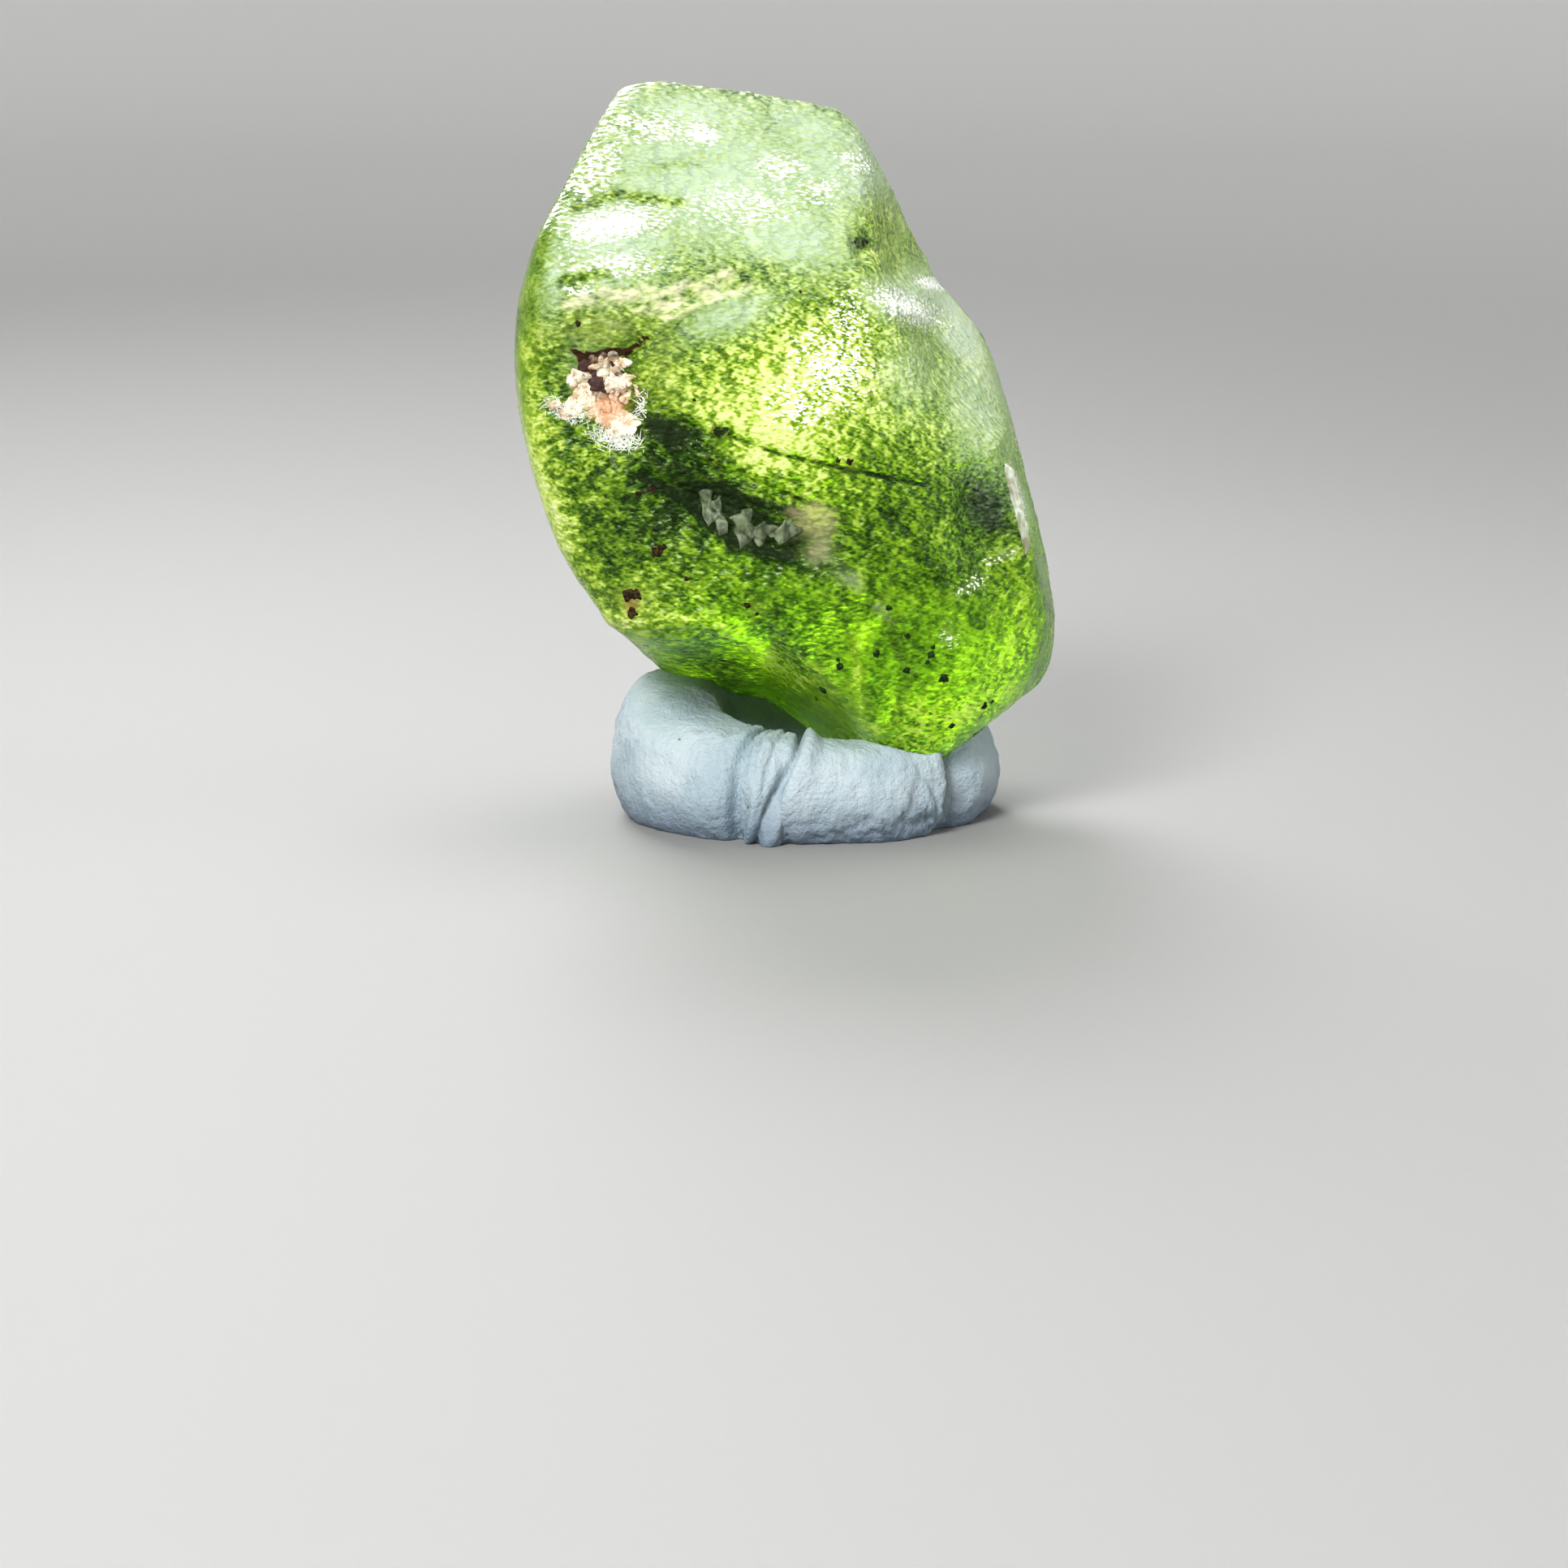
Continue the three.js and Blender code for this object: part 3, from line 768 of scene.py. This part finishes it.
# Dark specks sealed in the stone's skin near its foot, and brown ones on its left: place and size, in mm
DARK_SPECKS = [
    (2.07, 4.35, 0.13), (1.44, 3.48, 0.16), (4.53, 4.20, 0.12), (5.43, 4.77, 0.13), (5.91, 3.90, 0.16),
    (7.41, 2.91, 0.15), (6.21, 2.16, 0.11), (3.42, 4.80, 0.12), (4.56, 5.46, 0.10), (3.87, 6.51, 0.11),
    (5.5, 5.05, 0.08), (5.3, 4.5, 0.08), (1.2, 3.15, 0.08), (7.7, 3.05, 0.08), (2.0, 4.6, 0.07),
]
BROWN_SPECKS = [
    (-4.68, 8.60, 0.20), (-4.45, 8.75, 0.12), (-5.75, 6.95, 0.20), (-5.45, 7.0, 0.17), (-5.62, 6.3, 0.18),
    (-3.60, 7.59, 0.09), (-1.35, 6.60, 0.11), (-4.9, 10.9, 0.13), (-5.4, 10.7, 0.10), (-7.6, 17.0, 0.10),
    (2.43, 11.9, 0.12), (2.0, 11.95, 0.08), (-1.0, 6.3, 0.07), (-3.3, 14.2, 0.06), (0.6, 18.2, 0.06),
]


def make_flakes(surface, name, flakes, material):
    points, faces = join_meshes([flake(surface, *shape) for shape in flakes])
    return make_object(name, points * MM, faces, material)


def join_meshes(meshes):
    points = []
    faces = []
    for more_points, more_faces in meshes:
        faces += [[corner + len(points) for corner in face] for face in more_faces]
        points += list(more_points)
    return np.array(points), faces


SPECK_STEPS = 6
SPECK_RAGGED = 0.7
SPECK_FLATTENED = 0.65


def make_specks(surface, name, specks, material):
    """Small ragged lumps, flattened against the stone and sunk most of the way in."""
    looks, faces = cube_ball(SPECK_STEPS)
    looks = unit(looks)
    meshes = []
    for across, up, size in specks:
        place, normal = on_stone(surface, across, up)
        ragged = 1 + SPECK_RAGGED * lumpy(looks + place, 0.9)
        lump = looks * ragged[:, None] * size
        lump -= normal * (lump @ normal)[:, None] * SPECK_FLATTENED
        meshes.append((place + lump, faces))
    points, faces = join_meshes(meshes)
    return make_object(name, points * MM, faces, material)


# Node helpers

def add(tree, kind, **settings):
    """Adds a node. Its inputs are set to values or wired to sockets, and other settings are properties."""
    node = tree.nodes.new(kind)
    inputs = settings.pop("inputs", {})
    for key, value in settings.items():
        setattr(node, key, value)
    for key, value in inputs.items():
        if isinstance(value, bpy.types.NodeSocket):
            tree.links.new(value, node.inputs[key])
        else:
            node.inputs[key].default_value = value
    return node


def calculate(tree, operation, *values):
    return add(tree, "ShaderNodeMath", operation=operation, inputs=dict(enumerate(values))).outputs[0]


def times(tree, a, b):
    return calculate(tree, "MULTIPLY", a, b)


def weigh(tree, value, weight, base):
    """The value times its weight, on top of a base."""
    return calculate(tree, "MULTIPLY_ADD", value, weight, base)


def inverse(tree, value):
    return calculate(tree, "SUBTRACT", 1.0, value)


def first(tree, kind, **inputs):
    """The first output of a node that has only inputs to set."""
    return add(tree, kind, inputs=inputs).outputs[0]


def blend_colour(tree, amount, under, over):
    node = add(tree, "ShaderNodeMix", data_type="RGBA", inputs={0: amount, 6: under, 7: over})
    return node.outputs[2]


def ramp_between(tree, value, low, high):
    node = add(tree, "ShaderNodeMapRange", interpolation_type="SMOOTHSTEP",
               inputs={"Value": value, "From Min": low, "From Max": high})
    return node.outputs["Result"]


def grainy(tree, zone, grain, softness=0.22, spread=0.9):
    """Turns a soft zone into a mask whose edge breaks up into grains."""
    middle = 0.5 + spread / 2
    return ramp_between(tree, weigh(tree, grain, spread, zone), middle - softness, middle + softness)


def read_zone(tree, name):
    return add(tree, "ShaderNodeAttribute", attribute_name=name).outputs["Fac"]


def speckle(tree, place, size, detail=2.0, roughness=0.5, distortion=0.0):
    """Noise whose lumps are about the given size in mm."""
    values = {"Vector": place, "Scale": 1 / (size * MM), "Detail": detail, "Roughness": roughness,
              "Distortion": distortion}
    return add(tree, "ShaderNodeTexNoise", inputs=values).outputs["Fac"]


def cells(tree, place, size, feature="F1"):
    values = {"Vector": place, "Scale": 1 / (size * MM)}
    return add(tree, "ShaderNodeTexVoronoi", feature=feature, inputs=values)


def new_material(name):
    material = bpy.data.materials.new(name)
    material.use_nodes = True
    tree = material.node_tree
    place = add(tree, "ShaderNodeTexCoord").outputs["Object"]
    return material, tree, tree.nodes["Principled BSDF"], place


def finish(tree, shader, colour, roughness):
    tree.links.new(colour, shader.inputs["Base Color"])
    shader.inputs["Roughness"].default_value = roughness


def use_bump(tree, shader, height, depth, strength=1.0):
    values = {"Strength": strength, "Distance": depth * MM, "Height": height}
    bump = add(tree, "ShaderNodeBump", inputs=values)
    tree.links.new(bump.outputs["Normal"], shader.inputs["Normal"])


RUST_BROWN = (0.52, 0.24, 0.11, 1)
SCAR_BROWN = (0.045, 0.014, 0.008, 1)


def crust_material():
    """Cream and pinkish grains, rusty low down and dark brown in the deepest cracks."""
    material, tree, shader, place = new_material("pit_crust")
    lumps = speckle(tree, place, 0.5, 3.0, 0.7)
    fine = speckle(tree, place, 0.12, 2.0)
    pale = ramp_between(tree, lumps, 0.38, 0.58)
    colour = blend_colour(tree, pale, (0.47, 0.32, 0.18, 1), (0.82, 0.76, 0.60, 1))
    rust = grainy(tree, read_zone(tree, "rust"), fine, 0.4)
    colour = blend_colour(tree, times(tree, rust, 0.8), colour, RUST_BROWN)
    scar = grainy(tree, read_zone(tree, "scar"), lumps, 0.15, 1.1)
    finish(tree, shader, blend_colour(tree, scar, colour, SCAR_BROWN), 0.7)
    use_bump(tree, shader, fine, 0.05)
    return material


def fibre_material():
    material, tree, shader, place = new_material("pit_fibres")
    tint = speckle(tree, place, 0.6, 2.0)
    finish(tree, shader, blend_colour(tree, tint, (0.62, 0.66, 0.52, 1), (0.95, 0.95, 0.92, 1)), 0.35)
    return material


def flake_material(name, dark, light, fibre):
    """A dull mineral film with streaks along one direction."""
    material, tree, shader, place = new_material(name)
    turned = first(tree, "ShaderNodeMapping", Vector=place, Rotation=(0, math.radians(fibre), 0),
                   Scale=(1, 1, 0.25))
    streaks = speckle(tree, turned, 0.26, 2.0, 0.6)
    blotches = speckle(tree, place, 0.5, 2.0, 0.6)
    pale = ramp_between(tree, weigh(tree, blotches, 0.6, times(tree, streaks, 0.6)), 0.50, 0.74)
    finish(tree, shader, blend_colour(tree, pale, dark, light), 0.5)
    shader.inputs["Transmission Weight"].default_value = 0.45
    shader.inputs["Specular IOR Level"].default_value = 0.2
    use_bump(tree, shader, streaks, 0.06)
    return material


def speck_material(name, core, edge):
    material, tree, shader, place = new_material(name)
    shader.inputs["Specular IOR Level"].default_value = 0.1
    blotches = speckle(tree, place, 0.12, 2.0, 0.6)
    finish(tree, shader, blend_colour(tree, ramp_between(tree, blotches, 0.45, 0.6), core, edge), 0.8)
    use_bump(tree, shader, blotches, 0.03)
    return material


def colour_ramp(tree, value, stops):
    ramp = add(tree, "ShaderNodeValToRGB", inputs={"Fac": value})
    elements = ramp.color_ramp.elements
    while len(elements) < len(stops):
        elements.new(1.0)
    for element, (position, colour) in zip(elements, stops):
        element.position = position
        element.color = (*colour, 1)
    return ramp.outputs["Color"]


GREEN_TONES = [
    (0.0, (0.002, 0.008, 0.001)), (0.20, (0.025, 0.060, 0.004)), (0.38, (0.16, 0.29, 0.015)),
    (0.55, (0.47, 0.69, 0.035)), (0.75, (0.74, 0.93, 0.12)), (1.0, (0.93, 1.0, 0.40)),
]


PERIDOT_IOR = 1.67
GRAIN = 0.46
FINE_GRAIN = 0.13
# The grains are read once more this far towards the light, which makes them look embossed.
LIT_SIDE = (-0.05 * MM, -0.03 * MM, 0.065 * MM)


def peridot_masks(tree, fine, grains, medium):
    """Where each finish shows, with edges that break up into grains. Two of the zones stay soft."""
    masks = {name: read_zone(tree, name) for name in ("smooth", "stain")}
    edges = {"frost_and_sheen": (fine, 0.55, 0.9), "cream": (grains, 0.28, 1.0), "beige": (medium, 0.3, 0.8),
             "grey": (medium, 0.35, 0.9), "crust": (medium, 0.15, 0.9), "rust": (medium, 0.3, 0.9),
             "scar": (medium, 0.15, 1.1)}
    for name, edge in edges.items():
        masks[name] = grainy(tree, read_zone(tree, name), *edge)
    # Painted glints: white highlights whose edges break into grains.
    painted_glints = read_zone(tree, "painted_glints")
    within = ramp_between(tree, painted_glints, 0.03, 0.25)
    masks["painted_glints"] = times(tree, grainy(tree, painted_glints, fine, 0.08, 2.2), within)
    # Cracks and inclusions with painted shade.
    masks["dark"] = grainy(tree, times(tree, read_zone(tree, "dark"), 0.62), grains, 0.12, 1.8)
    return masks


def peridot_flecks(tree, along, grains, pores):
    """The grains as if lit from the top left, between -0.5 and 0.5."""
    lit_side = add(tree, "ShaderNodeVectorMath", operation="ADD", inputs={0: along, 1: LIT_SIDE}).outputs[0]
    slope = calculate(tree, "SUBTRACT", grains, speckle(tree, lit_side, GRAIN, 2.0, 0.6))
    slopes = ramp_between(tree, slope, -0.12, 0.12)
    return calculate(tree, "SUBTRACT", weigh(tree, pores, 0.25, times(tree, slopes, 0.75)), 0.5)


def peridot_tone(tree, masks, flecks, medium, broad):
    """How light the stone is, from 0 to 1, with painted light and shade in it. Flecks show least where it is
    smooth or frosted.
    """
    contrast = weigh(tree, masks["frost_and_sheen"], -0.55, weigh(tree, masks["smooth"], -0.49, 0.65))
    tone = weigh(tree, flecks, contrast, read_zone(tree, "light"))
    drift = calculate(tree, "SUBTRACT", weigh(tree, medium, 0.6, times(tree, broad, 0.35)), 0.475)
    tone = weigh(tree, masks["frost_and_sheen"], 0.28, calculate(tree, "ADD", tone, drift))
    return weigh(tree, read_zone(tree, "dark"), -0.3, tone)


def peridot_colour(tree, masks, tone, cracks_and_shade, pores, grains):
    """The green of the stone, with each finish laid over it in turn: painted sheen, shade and glints among
    them.
    """
    crumb = ramp_between(tree, grains, 0.4, 0.6)
    crumb = blend_colour(tree, crumb, (0.44, 0.30, 0.16, 1), (0.80, 0.74, 0.58, 1))
    body = colour_ramp(tree, tone, GREEN_TONES)
    for mask, share, colour in (
        # Frosted skin, its whitish colour partly painted sheen.
        (masks["frost_and_sheen"], weigh(tree, pores, 0.20, 0.68), (0.56, 0.69, 0.63, 1)),
        (masks["stain"], 0.6, (0.42, 0.46, 0.10, 1)),
        # Cracks and inclusions with painted shade, near black.
        (cracks_and_shade, 1.0, (0.006, 0.014, 0.003, 1)),
        (masks["grey"], 0.8, (0.24, 0.29, 0.17, 1)),
        (masks["beige"], 0.72, (0.31, 0.27, 0.14, 1)),
        (masks["cream"], 0.85, (0.80, 0.76, 0.52, 1)),
        # Painted glints: white highlights.
        (masks["painted_glints"], 1.0, (0.96, 0.98, 0.93, 1)),
        (masks["crust"], 1.0, crumb),
        (masks["rust"], 0.8, (0.50, 0.22, 0.09, 1)),
        (masks["scar"], 1.0, (0.030, 0.010, 0.006, 1)),
    ):
        body = blend_colour(tree, times(tree, mask, share), body, colour)
    return body


VEILS = {"cream": 0.8, "grey": 0.6, "beige": 0.65, "stain": 0.3, "painted_glints": 0.95, "crust": 1.0, "scar": 1.0}


def peridot_veil(tree, masks, tone):
    """How much light the skin holds back. The lightest flecks are milky, so that they glow."""
    glow = times(tree, ramp_between(tree, tone, 0.48, 0.95), 0.5)
    veiled = calculate(tree, "MAXIMUM", times(tree, masks["frost_and_sheen"], 0.45), glow)
    for name, share in VEILS.items():
        veiled = calculate(tree, "MAXIMUM", veiled, times(tree, masks[name], share))
    return veiled


def peridot_material():
    """See-through crystal with an etched skin: clear where it is smooth, veiled where it is frosted."""
    material, tree, shader, place = new_material("etched_peridot")
    along = first(tree, "ShaderNodeMapping", Vector=place, Rotation=(0, math.radians(60), 0),
                  Scale=(0.65, 1, 1.35))
    fine = speckle(tree, along, FINE_GRAIN, 1.0, 0.6)
    grains = speckle(tree, along, GRAIN, 2.0, 0.6)
    medium = speckle(tree, place, 0.9, 3.0, 0.6, 0.6)
    broad = speckle(tree, place, 3.5, 2.0, 0.5)
    pores = ramp_between(tree, fine, 0.38, 0.62)
    masks = peridot_masks(tree, fine, grains, medium)
    flecks = peridot_flecks(tree, along, grains, pores)
    tone = peridot_tone(tree, masks, flecks, medium, broad)
    # Where cracks, inclusions and painted shade make the stone near black.
    cracks_and_shade = times(tree, masks["dark"], weigh(tree, flecks, -0.4, 0.94))
    veiled = peridot_veil(tree, masks, tone)
    clear = times(tree, inverse(tree, veiled), inverse(tree, cracks_and_shade))
    roughness = weigh(tree, masks["smooth"], -0.12, weigh(tree, veiled, 0.25, 0.30))
    for name, socket in (
        ("Base Color", peridot_colour(tree, masks, tone, cracks_and_shade, pores, grains)),
        ("Transmission Weight", times(tree, clear, 0.85)),
        ("Roughness", weigh(tree, cracks_and_shade, 0.4, roughness)),
    ):
        tree.links.new(socket, shader.inputs[name])
    shader.inputs["IOR"].default_value = PERIDOT_IOR
    shader.inputs["Specular IOR Level"].default_value = 0.25
    shader.inputs["Specular Tint"].default_value = (0.24, 0.30, 0.16, 1)
    relief = weigh(tree, grains, 1.6, cells(tree, along, 0.26).outputs["Distance"])
    relief = weigh(tree, fine, 0.12, relief)
    use_bump(tree, shader, relief, 0.16, weigh(tree, masks["smooth"], -0.5, 0.62))
    volume = first(tree, "ShaderNodeVolumeAbsorption", Color=(0.78, 0.93, 0.05, 1), Density=200.0)
    tree.links.new(volume, tree.nodes["Material Output"].inputs["Volume"])
    return material


# The putty ring's form, from the same sizes as its solid, in mm

RING_MIDDLE = (0.8, -0.2)
RING_OUTER_RADIUS = 6.9
ROLL_WIDTH = 3.7
ROLL_SINK = 0.35
ROLL_SQUARENESS = 0.7
ROLL_LEAN = 0.35
RING_STEPS = 480
ROLL_STEPS = 96
CONTACT = 0.03


def bump_at(angle, middle_degrees, width_degrees):
    turn = angle - math.radians(middle_degrees)
    away = np.arctan2(np.sin(turn), np.cos(turn))
    return np.exp(-((away / math.radians(width_degrees)) ** 2))


# Bumps round the ring: height in mm, middle and width in degrees. A negative one is pressed in.
ROLL_SWELLS = [(1.3, 168, 38), (0.4, 80, 50), (-0.5, -65, 34)]
RIM_SWELLS = [
    (-0.35, -113, 4), (-0.3, -98, 4), (-0.45, -36, 7), (0.25, -105, 6), (0.3, -165, 26), (0.25, 8, 22),
]
ROLL_HEIGHT = 3.9


def with_bumps(angle, level, bumps):
    return level + sum(height * bump_at(angle, middle, width) for height, middle, width in bumps)


def signed_power(values, power):
    return np.sign(values) * np.abs(values) ** power


def roll_points():
    angle, turn = np.meshgrid(np.arange(RING_STEPS) / RING_STEPS * 2 * math.pi,
                              np.arange(ROLL_STEPS) / ROLL_STEPS * 2 * math.pi, indexing="ij")
    across = signed_power(np.cos(turn), ROLL_SQUARENESS)
    up = signed_power(np.sin(turn), ROLL_SQUARENESS)
    outer = with_bumps(angle, RING_OUTER_RADIUS, RIM_SWELLS)
    inner = RING_OUTER_RADIUS - ROLL_WIDTH
    radius = (outer + inner) / 2 + across * (outer - inner) / 2 - ROLL_LEAN * np.maximum(up, 0)
    height = (with_bumps(angle, ROLL_HEIGHT, ROLL_SWELLS) + ROLL_SINK) / 2 * (1 + up) - ROLL_SINK
    x = RING_MIDDLE[0] + radius * np.cos(angle)
    y = RING_MIDDLE[1] + radius * np.sin(angle)
    return np.stack([x, y, height], axis=-1)


# Marks in the putty, in degrees round the ring and mm up it: depth or height, the line, and its width in mm
PUTTY_MARKS = [
    (-0.42, [(-111.5, 4.4), (-112.5, 2.4), (-113.5, 0.0)], 0.16),
    (-0.20, [(-109.0, 4.2), (-109.5, 2.0), (-111.0, 0.0)], 0.10),
    (-0.16, [(-106.0, 4.2), (-107.0, 2.4), (-109.0, 0.4)], 0.10),
    (-0.50, [(-90.5, 4.2), (-95.0, 3.0), (-99.5, 1.8), (-106.0, 0.0)], 0.17),
    (0.30, [(-87.0, 4.0), (-92.0, 2.8), (-96.5, 1.6), (-102.0, 0.2)], 0.45),
    (-0.12, [(-100.0, 4.0), (-102.0, 2.6), (-104.5, 1.0)], 0.10),
    (-0.55, [(-36.5, 4.2), (-36.5, 2.4), (-39.0, 1.0), (-43.0, 0.0)], 0.28),
    (0.22, [(-42.0, 3.6), (-42.5, 2.2), (-46.0, 0.8)], 0.50),
    (-0.14, [(-52.0, 2.6), (-48.0, 1.8), (-46.0, 0.6)], 0.12),
    (-0.12, [(-57.0, 1.6), (-51.0, 1.0), (-48.0, 0.3)], 0.10),
    (-0.10, [(-120.0, 4.6), (-121.0, 3.4), (-120.0, 2.6)], 0.18),
    (-0.12, [(60.0, 4.4), (64.0, 2.6), (70.0, 1.2)], 0.3),
    (-0.18, [(150.0, 5.2), (146.0, 3.2), (149.0, 1.0)], 0.35),
]
ARC_PER_DEGREE = RING_OUTER_RADIUS * math.pi / 180


def around_ring(points):
    """Degrees round the ring, turned to mm of arc, and the height."""
    angle = np.degrees(np.arctan2(points[:, 1] - RING_MIDDLE[1], points[:, 0] - RING_MIDDLE[0]))
    return angle * ARC_PER_DEGREE, points[:, 2]


def grid_normals(grid):
    along = np.roll(grid, -1, axis=0) - np.roll(grid, 1, axis=0)
    round_roll = np.roll(grid, -1, axis=1) - np.roll(grid, 1, axis=1)
    return unit(np.cross(along, round_roll) + 1e-9).reshape(-1, 3)


# The putty's own unevenness: the size of the lumps, how broken up they are, and their height, in mm
PUTTY_LUMPS = [(3.2, 2, 0.16), (1.1, 2, 0.07), (0.4, 3, 0.055)]


def knead(points, normals):
    """The fold, the creases and the finger marks, and the torn skin low down at the front right."""
    place = around_ring(points)
    height = sum(lumpy(points, size, octaves) * high for size, octaves, high in PUTTY_LUMPS)
    for depth, line, width in PUTTY_MARKS:
        turned = [(degrees * ARC_PER_DEGREE, up) for degrees, up in line]
        height += depth * stroke(place, turned, width)
    streaks = points * np.array([3.0, 3.0, 0.5])
    stretched = patch(place, -104 * ARC_PER_DEGREE, 2.0, 1.1, 2.4)
    height += stretched * lumpy(streaks, 0.8, 2) * 0.10
    torn = patch(place, -62 * ARC_PER_DEGREE, 0.9, 3.4, 0.9, 4)
    torn += patch(place, -43 * ARC_PER_DEGREE, 1.6, 0.9, 1.2)
    height += np.clip(torn, 0, 1) * (lumpy(points, 0.45, 3) * 0.18 + lumpy(points, 0.16, 2) * 0.05)
    return points + normals * height[:, None]


def press_to_stone(points):
    """Putty that would lie inside the stone is pressed out to its surface."""
    away = points - HEART
    distance = np.linalg.norm(away, axis=1)
    looks = away / distance[:, None]
    stone = np.linalg.norm(crystal_surface(looks) - HEART, axis=1) + CONTACT
    return np.where((distance < stone)[:, None], HEART + looks * stone[:, None], points)


def grid_faces(rows, columns):
    here = np.arange(rows * columns).reshape(rows, columns)
    ahead = np.roll(here, -1, axis=0)
    above = np.roll(here, -1, axis=1)
    across = np.roll(ahead, -1, axis=1)
    return np.stack([here, ahead, across, above], axis=-1).reshape(-1, 4).tolist()


def make_ring():
    grid = roll_points()
    points = press_to_stone(knead(grid.reshape(-1, 3), grid_normals(grid)))
    points[:, 2] = np.maximum(points[:, 2], 0)
    return make_object("putty_roll", points * MM, grid_faces(RING_STEPS, ROLL_STEPS), putty_material())


def putty_material():
    """Dull blue-grey putty, darkened towards the ground by painted shade, with a grainy skin and a few dark
    specks.
    """
    material, tree, shader, place = new_material("mounting_putty")
    broad = speckle(tree, place, 3.0, 3.0)
    fine = speckle(tree, place, 0.22, 4.0, 0.65)
    pale = ramp_between(tree, broad, 0.3, 0.7)
    colour = blend_colour(tree, pale, (0.29, 0.38, 0.43, 1), (0.43, 0.505, 0.54, 1))
    height = add(tree, "ShaderNodeSeparateXYZ", inputs={"Vector": place}).outputs["Z"]
    low = inverse(tree, ramp_between(tree, height, 0.0, 2.2 * MM))
    # Painted shade: the putty is darkened towards the ground, where the shade falls.
    painted_shade_low = times(tree, low, weigh(tree, broad, 0.9, 0.40))
    colour = blend_colour(tree, painted_shade_low, colour, (0.12, 0.17, 0.23, 1))
    near_speck = cells(tree, place, 1.0).outputs["Distance"]
    speck = inverse(tree, ramp_between(tree, near_speck, 0.04, 0.08))
    finish(tree, shader, blend_colour(tree, times(tree, speck, 0.8), colour, (0.03, 0.04, 0.04, 1)), 0.6)
    use_bump(tree, shader, fine, 0.14)
    return material


# Putting it together

def attach(piece, slot, *nodes):
    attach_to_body(piece, "root")
    if nodes:
        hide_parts(*nodes)


make_camera()
make_studio_bowl()
make_lights()
crystal = make_crystal()
attach(crystal, "peridot", "peridot_crystal")
attach(make_crust(crystal), "peridot")
attach(make_fibres(crystal), "peridot")
surface = BVHTree.FromObject(crystal, bpy.context.evaluated_depsgraph_get())
grey_flake = flake_material("fissure_flakes", (0.04, 0.065, 0.018, 1), (0.25, 0.31, 0.16, 1), 10)
sliver = flake_material("edge_sliver", (0.26, 0.26, 0.13, 1), (0.60, 0.66, 0.54, 1), -15)
attach(make_flakes(surface, "fissure_flakes", FISSURE_FLAKES, grey_flake), "peridot")
attach(make_flakes(surface, "edge_sliver", SLIVER_FLAKES, sliver), "peridot")
dark_speck = speck_material("dark_specks", (0.004, 0.014, 0.004, 1), (0.015, 0.045, 0.008, 1))
brown_speck = speck_material("brown_specks", (0.010, 0.006, 0.002, 1), (0.045, 0.028, 0.008, 1))
attach(make_specks(surface, "dark_specks", DARK_SPECKS, dark_speck), "peridot")
attach(make_specks(surface, "brown_specks", BROWN_SPECKS, brown_speck), "peridot")
attach(make_ring(), "putty", "putty_ring")
